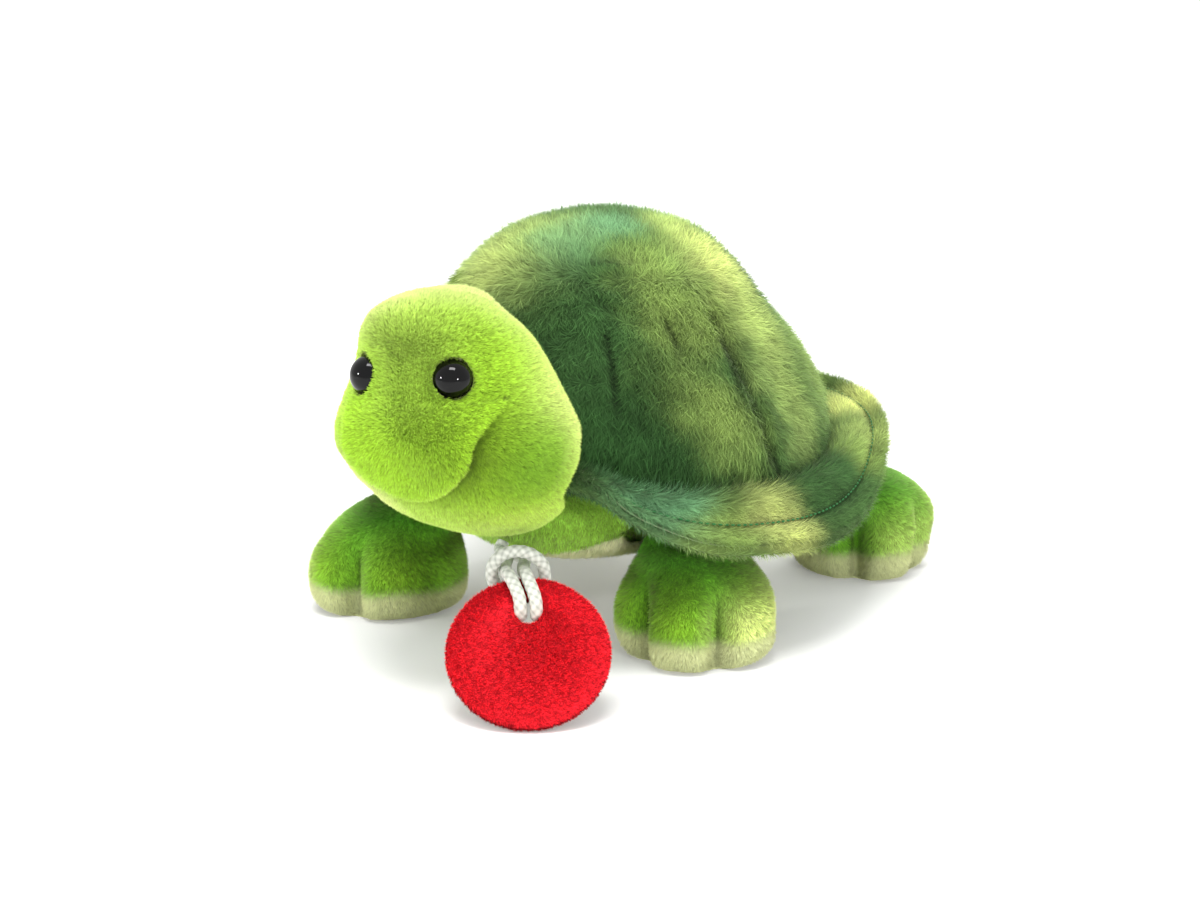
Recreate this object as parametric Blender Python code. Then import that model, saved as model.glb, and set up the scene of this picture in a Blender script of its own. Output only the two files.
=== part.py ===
# Plush turtle: a stuffed head, neck, body and four legs, a domed fur shell with
# a soft brim, button eyes on posts, and a round felt tag on a looped cord.
# Metres, +Z up, the face towards -Y, the turtle's left side towards +X.
import bpy
import bmesh
from math import asin, cos, pi, radians, sin, sqrt
from mathutils import Matrix, Vector

# Clearances
SEAM_GAP = 0.0003
SWING_GAP = 0.0030
NOD_GAP = 0.0038
CUT_OVERRUN = 0.0100

# The frame: the turtle without its tag stands over the origin
ORIGIN_SHIFT = (-0.0012, 0.0040)

# Shell: plan half sizes at the brim seam, top height and where it stands
SHELL_HALF_WIDTH = 0.0500
SHELL_HALF_LENGTH = 0.0580
SHELL_TOP_HEIGHT = 0.0935
SHELL_SEAM_HEIGHT = 0.0372
SHELL_CENTRE_Y = 0.0062
SHELL_FRONT_Y = SHELL_CENTRE_Y - SHELL_HALF_LENGTH
SHELL_APEX_SHIFT = -0.0045
SHELL_SIDE_BAND = 0.0022
SHELL_COLUMNS = 32
SHELL_RINGS = 9
SHELL_RING_BUNCHING = 0.85

# Brim: a two layer flap sewn round the shell
BRIM_WIDTH = 0.0115
BRIM_DROP = 0.0120
BRIM_RIGHT_TRIM_SHARE = 0.78
BRIM_CURL_POWER = 1.5
BRIM_TOP_THICKNESS = 0.0018
BRIM_LINING_THICKNESS = 0.0012
BRIM_COLUMNS = 44
BRIM_STEPS = 3

# Body under the shell: how far it lies inside the seam, then its own sizes
TORSO_SIDE_INSET = 0.0140
TORSO_END_INSET = 0.0080
TORSO_HALF_WIDTH = SHELL_HALF_WIDTH - TORSO_SIDE_INSET
TORSO_HALF_LENGTH = SHELL_HALF_LENGTH - TORSO_END_INSET
TORSO_HALF_HEIGHT = 0.0190
TORSO_CENTRE_HEIGHT = 0.0330
TORSO_COLUMNS = 24
TORSO_RINGS = 10
BELLY_SKIN = 0.0024
BELLY_TOP_HEIGHT = 0.0300
BELLY_FRONT_INSET = 0.0088
BELLY_FRONT_LEAN = radians(31)

# Head, which reaches forward from the shell's front end
HEAD_HEIGHT = 0.0580
HEAD_HALF_WIDTH = 0.0270
HEAD_HALF_LENGTH = 0.0240
HEAD_BOTTOM_HEIGHT = 0.0292
HEAD_CENTRE_X = 0.0032
HEAD_REACH = 0.0082
HEAD_CENTRE_Y = SHELL_FRONT_Y - HEAD_REACH
HEAD_ROLL = radians(-4)
HEAD_COLUMNS = 28
HEAD_RINGS = 16
NORMAL_STEP_SHARE = 0.01

# Neck: two ball ends, one in the body and one in the head, set back from the
# shell's front end
NECK_BASE_RADIUS = 0.0105
NECK_HEAD_RADIUS = 0.0090
NECK_BASE_INSET = 0.0233
NECK_HEAD_INSET = 0.0078
NECK_BASE_Y = SHELL_FRONT_Y + NECK_BASE_INSET
NECK_BASE_HEIGHT = 0.0340
NECK_HEAD_Y = SHELL_FRONT_Y + NECK_HEAD_INSET
NECK_HEAD_HEIGHT = 0.0385
NECK_SWING_GAP = 0.0025
BALL_COLUMNS = 18
BALL_RINGS = 9

# Eyes: a glossy cap on a post, held by a washer inside the head
EYE_RADIUS = 0.0045
EYE_CAP_HEIGHT = 0.0033
EYE_BAND = 0.0005
EYE_POST_RADIUS = 0.0012
EYE_POST_LENGTH = 0.0085
EYE_WASHER_RADIUS = 0.0042
EYE_WASHER_THICKNESS = 0.0012
EYE_WASHER_DEPTH = 0.0050
EYE_SINK = 0.0018
EYE_COLUMNS = 18
EYE_CAP_STEPS = 5

# Front legs
FRONT_PAW_HALF_LENGTH = 0.0185
FRONT_PAW_HALF_WIDTH = 0.0172
FRONT_LEG_HEIGHT = 0.0300
FRONT_HIP_SIDE_INSET = 0.0055
FRONT_HIP_END_INSET = 0.0238
FRONT_HIP_X = TORSO_HALF_WIDTH - FRONT_HIP_SIDE_INSET
FRONT_HIP_Y = SHELL_CENTRE_Y - TORSO_HALF_LENGTH + FRONT_HIP_END_INSET
FRONT_HIP_HEIGHT = 0.0265
FRONT_HIP_RADIUS = 0.0088

# Rear legs
REAR_PAW_HALF_LENGTH = 0.0175
REAR_PAW_HALF_WIDTH = 0.0160
REAR_LEG_HEIGHT = 0.0290
REAR_HIP_SIDE_INSET = 0.0080
REAR_HIP_END_INSET = 0.0182
REAR_HIP_X = TORSO_HALF_WIDTH - REAR_HIP_SIDE_INSET
REAR_HIP_Y = SHELL_CENTRE_Y + TORSO_HALF_LENGTH - REAR_HIP_END_INSET
REAR_HIP_HEIGHT = 0.0250
REAR_HIP_RADIUS = 0.0088

# Soles and toes, the same on every leg
SOLE_HEIGHT = 0.0062
TOE_CREASE_DEPTH = 0.0026
LEG_COLUMNS = 26
LEG_RINGS = 7
SOLE_RINGS = 3

# Tag and its cord
TAG_RADIUS = 0.0169
TAG_LAYER = 0.00085
TAG_HOLE_RADIUS = 0.0034
TAG_HOLE_OFFSET = 0.0088
TAG_HEADING = radians(30)
TAG_LEAN = radians(46)
TAG_FOOT_X = 0.0319
TAG_FOOT_REACH = 0.0304
TAG_FOOT_Y = SHELL_FRONT_Y - TAG_FOOT_REACH
TAG_COLUMNS = 40
CORD_RADIUS = 0.0014
CORD_POINTS = 70
CORD_CURVE_STEPS = 24
CORD_EXIT_X = 0.0020
CORD_EXIT_INSET = 0.0128
CORD_EXIT_Y = SHELL_FRONT_Y + CORD_EXIT_INSET
CORD_EXIT_SPREAD = 0.0019
CORD_EXIT_LEAD = 0.0024

# The cord's route from the chest through the hole and round its own strands,
# on the tag's own axes from its middle: middle of the two strands, spread to
# one side, rise up the tag and distance in front of it
CORD_ROUTE = [
    (-0.0029, 0.0020, 0.0300, -0.0158), (-0.0020, 0.0020, 0.0242, -0.0072),
    (-0.0015, 0.0019, 0.0210, -0.0026), (-0.0009, 0.0018, 0.0182, 0.0013),
    (-0.0003, 0.0017, 0.0148, 0.0019), (0.0, 0.00166, 0.0119, 0.0017),
    (0.0, 0.00166, 0.0098, 0.0008), (0.0, 0.00166, 0.0089, -0.0010),
    (0.0, 0.00166, 0.0098, -0.0029), (-0.0001, 0.0018, 0.0122, -0.0040),
    (-0.0006, 0.0032, 0.0152, -0.0045), (-0.0012, 0.0049, 0.0179, -0.0040),
    (-0.0014, 0.0055, 0.0203, -0.0027), (-0.0015, 0.0049, 0.0225, -0.0010),
    (-0.0016, 0.0028, 0.0240, 0.0002), (-0.0016, 0.0, 0.0245, 0.0006)]

# Shares of the shell's height and of its plan radius, seam to top
SHELL_PROFILE_SHARES = [
    (0.00, 1.000), (0.17, 0.990), (0.285, 0.945), (0.386, 0.885), (0.49, 0.810),
    (0.59, 0.730), (0.694, 0.655), (0.796, 0.565), (0.87, 0.475), (0.93, 0.370),
    (0.975, 0.230)]

# Round one side of the shell, front to back: share of the half turn, rise of
# the seam, brim width and brim edge height, the last three as shares of the
# brim drop, the brim width and the brim drop
BRIM_SHARES = [
    (0.000, 0.980, 0.26, 0.90), (0.080, 0.880, 0.26, 0.86), (0.167, 0.600, 0.56, 0.66),
    (0.222, 0.360, 0.80, 0.10), (0.278, 0.200, 0.88, -0.32), (0.333, 0.140, 0.95, -0.58),
    (0.389, 0.070, 0.98, -0.72), (0.444, 0.010, 1.00, -0.80), (0.500, 0.000, 1.02, -0.80),
    (0.556, 0.000, 1.04, -0.62), (0.611, 0.000, 1.06, -0.28), (0.667, 0.000, 1.13, 0.12),
    (0.722, -0.020, 1.16, 0.38), (0.806, -0.050, 1.12, 0.50), (0.917, -0.080, 1.04, 0.46),
    (1.000, -0.090, 1.04, 0.44)]

# Head sections, chin to crown: share of the height, then front, back and side
# reach as shares of the head's half length, half length and half width
HEAD_SHARES = [
    (0.000, -0.50, 0.62, 0.10), (0.022, -0.30, 0.80, 0.28), (0.055, -0.05, 0.95, 0.46),
    (0.100, 0.18, 1.02, 0.62), (0.160, 0.42, 1.04, 0.76), (0.225, 0.61, 1.05, 0.85),
    (0.300, 0.80, 1.05, 0.92), (0.380, 0.94, 1.04, 0.98), (0.450, 1.01, 1.00, 1.00),
    (0.520, 1.02, 0.93, 0.96), (0.600, 0.98, 0.88, 0.875), (0.680, 0.93, 0.82, 0.795),
    (0.752, 0.88, 0.72, 0.735), (0.810, 0.88, 0.62, 0.69), (0.865, 0.89, 0.50, 0.63),
    (0.915, 0.84, 0.40, 0.54), (0.960, 0.73, 0.32, 0.43), (0.990, 0.52, 0.20, 0.27)]

# Leg sections, floor to hip: share of the leg height, then length and width
# reach as shares of the paw's, the drift from the paw's middle to the hip, and
# how deep the toe creases are
FRONT_LEG_SHARES = [
    (0.00, 0.86, 0.84, 0.00, 0.50), (0.06, 0.955, 0.95, 0.00, 0.90),
    (0.15, 1.00, 1.00, 0.00, 1.00), (0.26, 1.00, 1.00, 0.00, 1.00),
    (0.38, 0.98, 0.99, 0.00, 0.90), (0.50, 0.92, 0.94, 0.02, 0.60),
    (0.62, 0.82, 0.84, 0.10, 0.25), (0.75, 0.69, 0.72, 0.30, 0.00),
    (0.88, 0.53, 0.56, 0.62, 0.00), (1.00, 0.28, 0.32, 0.95, 0.00)]
REAR_LEG_SHARES = [
    (0.00, 0.86, 0.84, 0.00, 0.50), (0.06, 0.955, 0.95, 0.00, 0.90),
    (0.15, 1.00, 1.00, 0.00, 1.00), (0.26, 1.01, 1.00, 0.00, 1.00),
    (0.38, 1.02, 1.02, -0.01, 0.90), (0.50, 1.01, 1.03, -0.01, 0.60),
    (0.62, 0.97, 1.02, 0.04, 0.25), (0.75, 0.90, 0.97, 0.17, 0.00),
    (0.88, 0.74, 0.82, 0.44, 0.00), (1.00, 0.44, 0.50, 0.80, 0.00)]

# Toe creases: heading from the paw's front and spread, as shares of a half turn
TOE_CREASE_SHARES = (-0.20, 0.19)
TOE_SPREAD_SHARE = 0.045

# Each leg: name, side, front or rear, paw middle as shares of the shell's half
# width and half length, and heading of the toes
LEG_PLACE_SHARES = [
    ("front_left", 1, "front", (0.744, -0.307), radians(12)),
    ("front_right", -1, "front", (-0.840, -0.388), radians(-30)),
    ("rear_left", 1, "rear", (0.800, 1.026), radians(55)),
    ("rear_right", -1, "rear", (-0.800, 1.026), radians(-55)),
]

# Eyes: height share of the head and turn from the face's middle
EYE_HEIGHT_SHARE = 0.715
EYE_TURNS = {"left": radians(35.5), "right": radians(-31)}

GROUND_NAME = "turtle"

# Colours
LIME = (0.30, 0.56, 0.05)
GREEN = (0.16, 0.42, 0.03)
PALE = (0.62, 0.78, 0.36)
FUR = (0.06, 0.17, 0.06)
LINING = (0.05, 0.16, 0.08)
BLACK = (0.006, 0.006, 0.007)
WASHER_WHITE = (0.75, 0.75, 0.72)
RED = (0.70, 0.02, 0.02)
CORD_WHITE = (0.85, 0.85, 0.82)


def clear_scene():
    for item in list(bpy.data.objects):
        bpy.data.objects.remove(item, do_unlink=True)


def add_ground_point():
    # Everything hangs on one empty, so that the whole toy moves with it
    ground = bpy.data.objects.new(GROUND_NAME, None)
    bpy.context.collection.objects.link(ground)
    ground.location = (*ORIGIN_SHIFT, 0)


def make_material(name, colour, roughness, metallic=0.0):
    material = bpy.data.materials.new(name)
    material.use_nodes = True
    shader = material.node_tree.nodes["Principled BSDF"]
    shader.inputs["Base Color"].default_value = (*colour, 1.0)
    shader.inputs["Roughness"].default_value = roughness
    shader.inputs["Metallic"].default_value = metallic
    return material


# Meshes and objects

def add_object(name, mesh, material=None, parent=None, location=(0, 0, 0), rotation=(0, 0, 0)):
    item = bpy.data.objects.new(name, mesh)
    bpy.context.collection.objects.link(item)
    item.parent = parent or bpy.data.objects[GROUND_NAME]
    item.location = location
    item.rotation_euler = rotation
    if material:
        item.data.materials.append(material)
    return item


def add_pivot(name, location, parent=None, rotation=(0, 0, 0)):
    pivot = bpy.data.objects.new(name, None)
    bpy.context.collection.objects.link(pivot)
    pivot.parent = parent or bpy.data.objects[GROUND_NAME]
    pivot.location = location
    pivot.rotation_euler = rotation
    return pivot


def mark_cutter(item):
    item.hide_render = True
    item.display_type = "WIRE"
    return item


def boolean(item, other, operation):
    step = item.modifiers.new(operation.lower(), "BOOLEAN")
    step.operation = operation
    step.solver = "MANIFOLD"
    step.object = other
    return step


def smooth_shading(mesh, limit=radians(40)):
    mesh.shade_smooth()
    mesh.set_sharp_from_angle(angle=limit)


def station_value(table, share):
    # Cubic through the table's rows, read at one share of its first column
    rows = len(table)
    index = 0
    while index < rows - 2 and table[index + 1][0] < share:
        index += 1
    first, second = table[index], table[index + 1]
    before = table[max(index - 1, 0)]
    after = table[min(index + 2, rows - 1)]
    span = second[0] - first[0]
    step = min(max((share - first[0]) / span, 0.0), 1.0)
    values = []
    for column in range(1, len(first)):
        slope_a = (second[column] - before[column]) / (second[0] - before[0]) * span
        slope_b = (after[column] - first[column]) / (after[0] - first[0]) * span
        values.append(
            first[column] * (2 * step ** 3 - 3 * step ** 2 + 1)
            + slope_a * (step ** 3 - 2 * step ** 2 + step)
            + second[column] * (3 * step ** 2 - 2 * step ** 3)
            + slope_b * (step ** 3 - step ** 2))
    return values


def stacked_mesh(name, rings, low_pole=None, high_pole=None):
    # Closed skin over level rings, lowest first, each counterclockwise from above
    mesh = bpy.data.meshes.new(name)
    form = bmesh.new()
    loops = [[form.verts.new(point) for point in ring] for ring in rings]
    count = len(loops[0])
    for lower, upper in zip(loops, loops[1:]):
        for index in range(count):
            after = (index + 1) % count
            form.faces.new((lower[index], lower[after], upper[after], upper[index]))
    for loop, pole, turn in ((loops[0], low_pole, -1), (loops[-1], high_pole, 1)):
        if pole is None:
            form.faces.new(loop[::turn])
            continue
        centre = form.verts.new(pole)
        for index in range(count):
            after = (index + 1) % count
            form.faces.new((loop[index], loop[after], centre)[::turn])
    form.to_mesh(mesh)
    form.free()
    smooth_shading(mesh)
    return mesh


def ball_mesh(name, radius):
    rings = []
    for level in range(1, BALL_RINGS):
        lift = -pi / 2 + pi * level / BALL_RINGS
        rings.append([
            Vector((cos(turn) * cos(lift), sin(turn) * cos(lift), sin(lift))) * radius
            for turn in (2 * pi * index / BALL_COLUMNS for index in range(BALL_COLUMNS))])
    return stacked_mesh(name, rings, Vector((0, 0, -radius)), Vector((0, 0, radius)))


def turned_mesh(name, outline, columns):
    # Outline of (radius, height) pairs from the lower pole to the upper one
    rings = [[Vector((radius * cos(turn), radius * sin(turn), height))
              for turn in (2 * pi * index / columns for index in range(columns))]
             for radius, height in outline[1:-1]]
    return stacked_mesh(name, rings, Vector((0, 0, outline[0][1])), Vector((0, 0, outline[-1][1])))


# Shell

def side_share(turn):
    # Share of the half turn from the front, the same on both sides
    from_front = (turn + pi / 2) % (2 * pi)
    return min(from_front, 2 * pi - from_front) / pi


def seam_height(turn):
    rise = station_value(BRIM_SHARES, side_share(turn))[0]
    return SHELL_SEAM_HEIGHT + rise * BRIM_DROP


def shell_point(turn, height_share, radius_share, gap):
    low = seam_height(turn)
    return Vector((
        (SHELL_HALF_WIDTH + gap) * radius_share * cos(turn),
        SHELL_CENTRE_Y + SHELL_APEX_SHIFT * height_share
        + (SHELL_HALF_LENGTH + gap) * radius_share * sin(turn),
        low + (SHELL_TOP_HEIGHT + gap - low) * height_share))


def shell_mesh(name, gap=0.0):
    turns = [2 * pi * index / SHELL_COLUMNS for index in range(SHELL_COLUMNS)]
    drop = Vector((0, 0, SHELL_SIDE_BAND + gap))
    rings = [[shell_point(turn, 0, 1, gap) - drop for turn in turns]]
    last = SHELL_PROFILE_SHARES[-1][0]
    for level in range(SHELL_RINGS):
        share = last * (level / (SHELL_RINGS - 1)) ** SHELL_RING_BUNCHING
        radius = station_value(SHELL_PROFILE_SHARES, share)[0]
        rings.append([shell_point(turn, share, radius, gap) for turn in turns])
    base = Vector((0, SHELL_CENTRE_Y, SHELL_SEAM_HEIGHT)) - drop
    top = shell_point(0, 1, 0, gap)
    return stacked_mesh(name, rings, base, top)


def brim_point(turn, share, depth, extra=0.0):
    rise, width, edge = station_value(BRIM_SHARES, side_share(turn))
    low = SHELL_SEAM_HEIGHT + rise * BRIM_DROP
    high = SHELL_SEAM_HEIGHT + edge * BRIM_DROP
    trim = 1 - BRIM_RIGHT_TRIM_SHARE * max(0.0, -cos(turn) * (1 - sin(turn)) / 2)
    reach = SEAM_GAP + width * BRIM_WIDTH * share * trim + extra * (2 * share - 1)
    return Vector((
        (SHELL_HALF_WIDTH + reach) * cos(turn),
        SHELL_CENTRE_Y + (SHELL_HALF_LENGTH + reach) * sin(turn),
        low + (high - low) * share ** BRIM_CURL_POWER - depth))


def brim_mesh(name, top_depth, thickness, extra=0.0):
    # A closed band: up the outside of one cross-section, back along its underside
    mesh = bpy.data.meshes.new(name)
    form = bmesh.new()
    shares = [step / BRIM_STEPS for step in range(BRIM_STEPS + 1)]
    loops = []
    for index in range(BRIM_COLUMNS):
        turn = 2 * pi * index / BRIM_COLUMNS
        upper = [brim_point(turn, share, top_depth, extra) for share in shares]
        under = [brim_point(turn, share, top_depth + thickness, extra) for share in reversed(shares)]
        loops.append([form.verts.new(point) for point in upper + under])
    count = len(loops[0])
    for index, loop in enumerate(loops):
        after = loops[(index + 1) % BRIM_COLUMNS]
        for step in range(count):
            # Both faces split along one diagonal, so that stacked layers keep their gap
            following = (step + 1) % count
            corners = (loop[step], loop[following], after[following], after[step])
            first = int(step > BRIM_STEPS)
            form.faces.new(corners[first:first + 3])
            form.faces.new((corners[first], corners[first + 2], corners[first - 1]))
    form.to_mesh(mesh)
    form.free()
    smooth_shading(mesh)
    return mesh


# Body

def torso_mesh(name, gap=0.0):
    half_width = TORSO_HALF_WIDTH + gap
    half_length = TORSO_HALF_LENGTH + gap
    half_height = TORSO_HALF_HEIGHT + gap
    rings = []
    for level in range(1, TORSO_RINGS):
        lift = -pi / 2 + pi * level / TORSO_RINGS
        rings.append([
            Vector((half_width * cos(turn) * cos(lift), half_length * sin(turn) * cos(lift),
                    half_height * sin(lift)))
            for turn in (2 * pi * index / TORSO_COLUMNS for index in range(TORSO_COLUMNS))])
    return stacked_mesh(name, rings, Vector((0, 0, -half_height)), Vector((0, 0, half_height)))


def box_mesh(name, low, high):
    mesh = bpy.data.meshes.new(name)
    form = bmesh.new()
    bmesh.ops.create_cube(form, size=1)
    size = [top - bottom for bottom, top in zip(low, high)]
    middle = [(top + bottom) / 2 for bottom, top in zip(low, high)]
    bmesh.ops.scale(form, vec=size, verts=form.verts)
    bmesh.ops.translate(form, vec=middle, verts=form.verts)
    form.to_mesh(mesh)
    form.free()
    return mesh


def belly_block(name, gap, skin):
    # Block under the seam line, hollowed to the body's inner face
    reach = TORSO_HALF_LENGTH + TORSO_HALF_WIDTH
    block = box_mesh(name, (-reach, -gap, -reach), (reach, 2 * reach, reach))
    front = SHELL_FRONT_Y + BELLY_FRONT_INSET
    item = add_object(name, block, None, None, (0, front, 0), (-BELLY_FRONT_LEAN, 0, 0))
    lid = add_object(name + "_lid", box_mesh(
        name + "_lid", (-2 * reach, -2 * reach, 0), (2 * reach, 2 * reach, 2 * reach)),
        None, None, (0, 0, BELLY_TOP_HEIGHT + gap))
    core = add_object(name + "_core", torso_mesh(name + "_core", -skin), None, None,
                      (0, SHELL_CENTRE_Y, TORSO_CENTRE_HEIGHT))
    for other in (lid, core):
        boolean(item, mark_cutter(other), "DIFFERENCE")
    return mark_cutter(item)


# Head

def head_outline(height_share, turn, gap=0.0):
    front, back, side = station_value(HEAD_SHARES, height_share)
    reach_front = front * HEAD_HALF_LENGTH
    reach_back = back * HEAD_HALF_LENGTH
    middle = (reach_back - reach_front) / 2
    half = (reach_back + reach_front) / 2 + gap
    return Vector(((side * HEAD_HALF_WIDTH + gap) * cos(turn),
                   middle + half * sin(turn),
                   height_share * HEAD_HEIGHT))


def head_mesh(name):
    turns = [2 * pi * index / HEAD_COLUMNS for index in range(HEAD_COLUMNS)]
    last = HEAD_SHARES[-1][0]
    rings = []
    for level in range(HEAD_RINGS + 1):
        share = last * (1 - cos(pi * level / HEAD_RINGS)) / 2
        rings.append([head_outline(share, turn) for turn in turns])
    low = sum(rings[0], Vector()) / HEAD_COLUMNS
    high = sum(rings[-1], Vector()) / HEAD_COLUMNS
    return stacked_mesh(name, rings, low, Vector((high.x, high.y, HEAD_HEIGHT)))


def head_surface(height_share, turn):
    # Point and outward normal on the head, measured on its own formula
    step = NORMAL_STEP_SHARE
    point = head_outline(height_share, turn)
    across = head_outline(height_share, turn + step) - head_outline(height_share, turn - step)
    along = head_outline(height_share + step, turn) - head_outline(height_share - step, turn)
    return point, across.cross(along).normalized()


# Eyes

def eye_outline():
    # Post end, post, flat back, domed front
    sphere = (EYE_RADIUS ** 2 + EYE_CAP_HEIGHT ** 2) / (2 * EYE_CAP_HEIGHT)
    rim = asin(EYE_RADIUS / sphere)
    top = EYE_BAND + EYE_CAP_HEIGHT - EYE_SINK
    outline = [(0, -EYE_POST_LENGTH), (EYE_POST_RADIUS, -EYE_POST_LENGTH),
               (EYE_POST_RADIUS, -EYE_SINK), (EYE_RADIUS, -EYE_SINK)]
    for index in range(EYE_CAP_STEPS):
        lift = rim * (1 - index / EYE_CAP_STEPS)
        outline.append((sphere * sin(lift), sphere * cos(lift) - sphere + top))
    outline.append((0, top))
    return outline


def eye_hole_outline():
    # Room for the post and the cap's seat, open to the front
    post = EYE_POST_RADIUS + SEAM_GAP
    cap = EYE_RADIUS + SEAM_GAP
    low = -EYE_POST_LENGTH - SEAM_GAP
    seat = -EYE_SINK - SEAM_GAP
    return [(0, low), (post, low), (post, seat), (cap, seat), (cap, CUT_OVERRUN), (0, CUT_OVERRUN)]


def washer_mesh(name, gap=0.0, hole=True):
    low = -EYE_WASHER_DEPTH - EYE_WASHER_THICKNESS - gap
    high = -EYE_WASHER_DEPTH + gap
    outer = EYE_WASHER_RADIUS + gap
    if not hole:
        return turned_mesh(name, [(0, low), (outer, low), (outer, high), (0, high)], EYE_COLUMNS)
    return ring_plate(name, outer, EYE_POST_RADIUS + SEAM_GAP, (0, 0), low, high, EYE_COLUMNS)


def ring_plate(name, radius, hole_radius, hole_centre, low, high, columns):
    # Round plate with a round hole that may lie off its middle
    mesh = bpy.data.meshes.new(name)
    form = bmesh.new()
    turns = [2 * pi * index / columns for index in range(columns)]
    loops = []
    for reach, centre, level in (
            (radius, (0, 0), low), (radius, (0, 0), high),
            (hole_radius, hole_centre, high), (hole_radius, hole_centre, low)):
        loops.append([form.verts.new((centre[0] + reach * cos(turn), centre[1] + reach * sin(turn), level))
                      for turn in turns])
    for order, loop in enumerate(loops):
        after = loops[(order + 1) % len(loops)]
        for index in range(columns):
            following = (index + 1) % columns
            form.faces.new((loop[index], loop[following], after[following], after[index]))
    form.to_mesh(mesh)
    form.free()
    smooth_shading(mesh)
    return mesh


# Legs

def leg_point(kind, centre, heading, hip, share, turn, gap=0.0):
    table, half_length, half_width, height = LEG_SIZES[kind]
    length, width, drift, crease = station_value(table, share)
    toe = 0.0
    for place in TOE_CREASE_SHARES:
        away = ((turn + pi / 2) / pi - place) / TOE_SPREAD_SHARE
        if turn > pi / 2:
            away = ((turn - 3 * pi / 2) / pi - place) / TOE_SPREAD_SHARE
        toe += TOE_CREASE_DEPTH * crease * max(0.0, 1 - away * away / 4) ** 2
    along = (half_length * length + gap - toe) * sin(turn)
    across = (half_width * width + gap - toe) * cos(turn)
    base = Vector(centre).lerp(Vector(hip), drift)
    return Vector((base.x + across * cos(heading) - along * sin(heading),
                   base.y + across * sin(heading) + along * cos(heading),
                   share * height))


def leg_rings(kind, centre, heading, hip, low, high, count, gap=0.0):
    rings = []
    for level in range(count + 1):
        share = low + (high - low) * level / count
        rings.append([
            leg_point(kind, centre, heading, hip, share, 2 * pi * index / LEG_COLUMNS - pi, gap)
            for index in range(LEG_COLUMNS)])
    return rings


LEG_SIZES = {
    "front": (FRONT_LEG_SHARES, FRONT_PAW_HALF_LENGTH, FRONT_PAW_HALF_WIDTH, FRONT_LEG_HEIGHT),
    "rear": (REAR_LEG_SHARES, REAR_PAW_HALF_LENGTH, REAR_PAW_HALF_WIDTH, REAR_LEG_HEIGHT),
}
HIPS = {
    "front": (FRONT_HIP_X, FRONT_HIP_Y, FRONT_HIP_HEIGHT, FRONT_HIP_RADIUS),
    "rear": (REAR_HIP_X, REAR_HIP_Y, REAR_HIP_HEIGHT, REAR_HIP_RADIUS),
}


def build_leg(name, side, kind, place_shares, heading, upper_material, sole_material, torso_parts):
    centre = (place_shares[0] * SHELL_HALF_WIDTH, place_shares[1] * SHELL_HALF_LENGTH)
    hip_x, hip_y, hip_height, hip_radius = HIPS[kind]
    height = LEG_SIZES[kind][3]
    hip = (side * hip_x, hip_y, hip_height)
    pivot = add_pivot("hip_" + name, hip)
    back = [-value for value in hip]
    split = SOLE_HEIGHT / height
    start = (SOLE_HEIGHT + SEAM_GAP) / height
    upper = stacked_mesh("leg_" + name, leg_rings(kind, centre, heading, hip[:2], start, 1.0, LEG_RINGS))
    leg = add_object("leg_" + name, upper, upper_material, pivot, back)
    sole = stacked_mesh("sole_" + name, leg_rings(kind, centre, heading, hip[:2], 0.0, split, SOLE_RINGS))
    add_object("sole_" + name, sole, sole_material, pivot, back)
    away = mark_cutter(add_object("body_clear_" + name, torso_mesh("body_clear", SWING_GAP), None, None,
                                  (0, SHELL_CENTRE_Y, TORSO_CENTRE_HEIGHT)))
    boolean(leg, away, "DIFFERENCE")
    ball = mark_cutter(add_object("hip_ball_" + name, ball_mesh("hip_ball", hip_radius), None, None, hip))
    boolean(leg, ball, "UNION")
    socket = mark_cutter(add_object("hip_socket_" + name, ball_mesh("hip_socket", hip_radius + SEAM_GAP),
                                    None, None, hip))
    for part in torso_parts:
        boolean(part, socket, "DIFFERENCE")


# Tag and cord

def tag_axes():
    across = Vector((cos(TAG_HEADING), sin(TAG_HEADING), 0))
    inward = Vector((-sin(TAG_HEADING), cos(TAG_HEADING), 0))
    up = inward * cos(TAG_LEAN) + Vector((0, 0, sin(TAG_LEAN)))
    return across, up, across.cross(up)


def tag_centre():
    # Middle of the front face, with the back edge of the disc on the floor
    up = tag_axes()[1]
    rise = SEAM_GAP + (2 * TAG_LAYER + SEAM_GAP) * cos(TAG_LEAN)
    return Vector((TAG_FOOT_X, TAG_FOOT_Y, rise)) + up * TAG_RADIUS


def chest_point(x, y):
    # Point and outward normal on the underside of the body's front end
    share_x = x / TORSO_HALF_WIDTH
    share_y = (y - SHELL_CENTRE_Y) / TORSO_HALF_LENGTH
    share_z = -sqrt(1 - share_x ** 2 - share_y ** 2)
    point = Vector((x, y, TORSO_CENTRE_HEIGHT + share_z * TORSO_HALF_HEIGHT))
    normal = Vector((share_x / TORSO_HALF_WIDTH, share_y / TORSO_HALF_LENGTH, share_z / TORSO_HALF_HEIGHT))
    return point, normal.normalized()


def cord_half(side):
    # Down from the chest, into the hole, up behind the disc, and over in front
    # of both strands
    across, up, face = tag_axes()
    centre = tag_centre()
    shift = across * side * CORD_EXIT_SPREAD
    start, normal = chest_point(CORD_EXIT_X + shift.x, CORD_EXIT_Y + shift.y)
    points = [start + normal * SEAM_GAP, start + normal * CORD_EXIT_LEAD]
    for middle, spread, rise, front in CORD_ROUTE:
        points.append(centre + across * (middle + side * spread) + up * rise + face * front)
    return points


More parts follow.
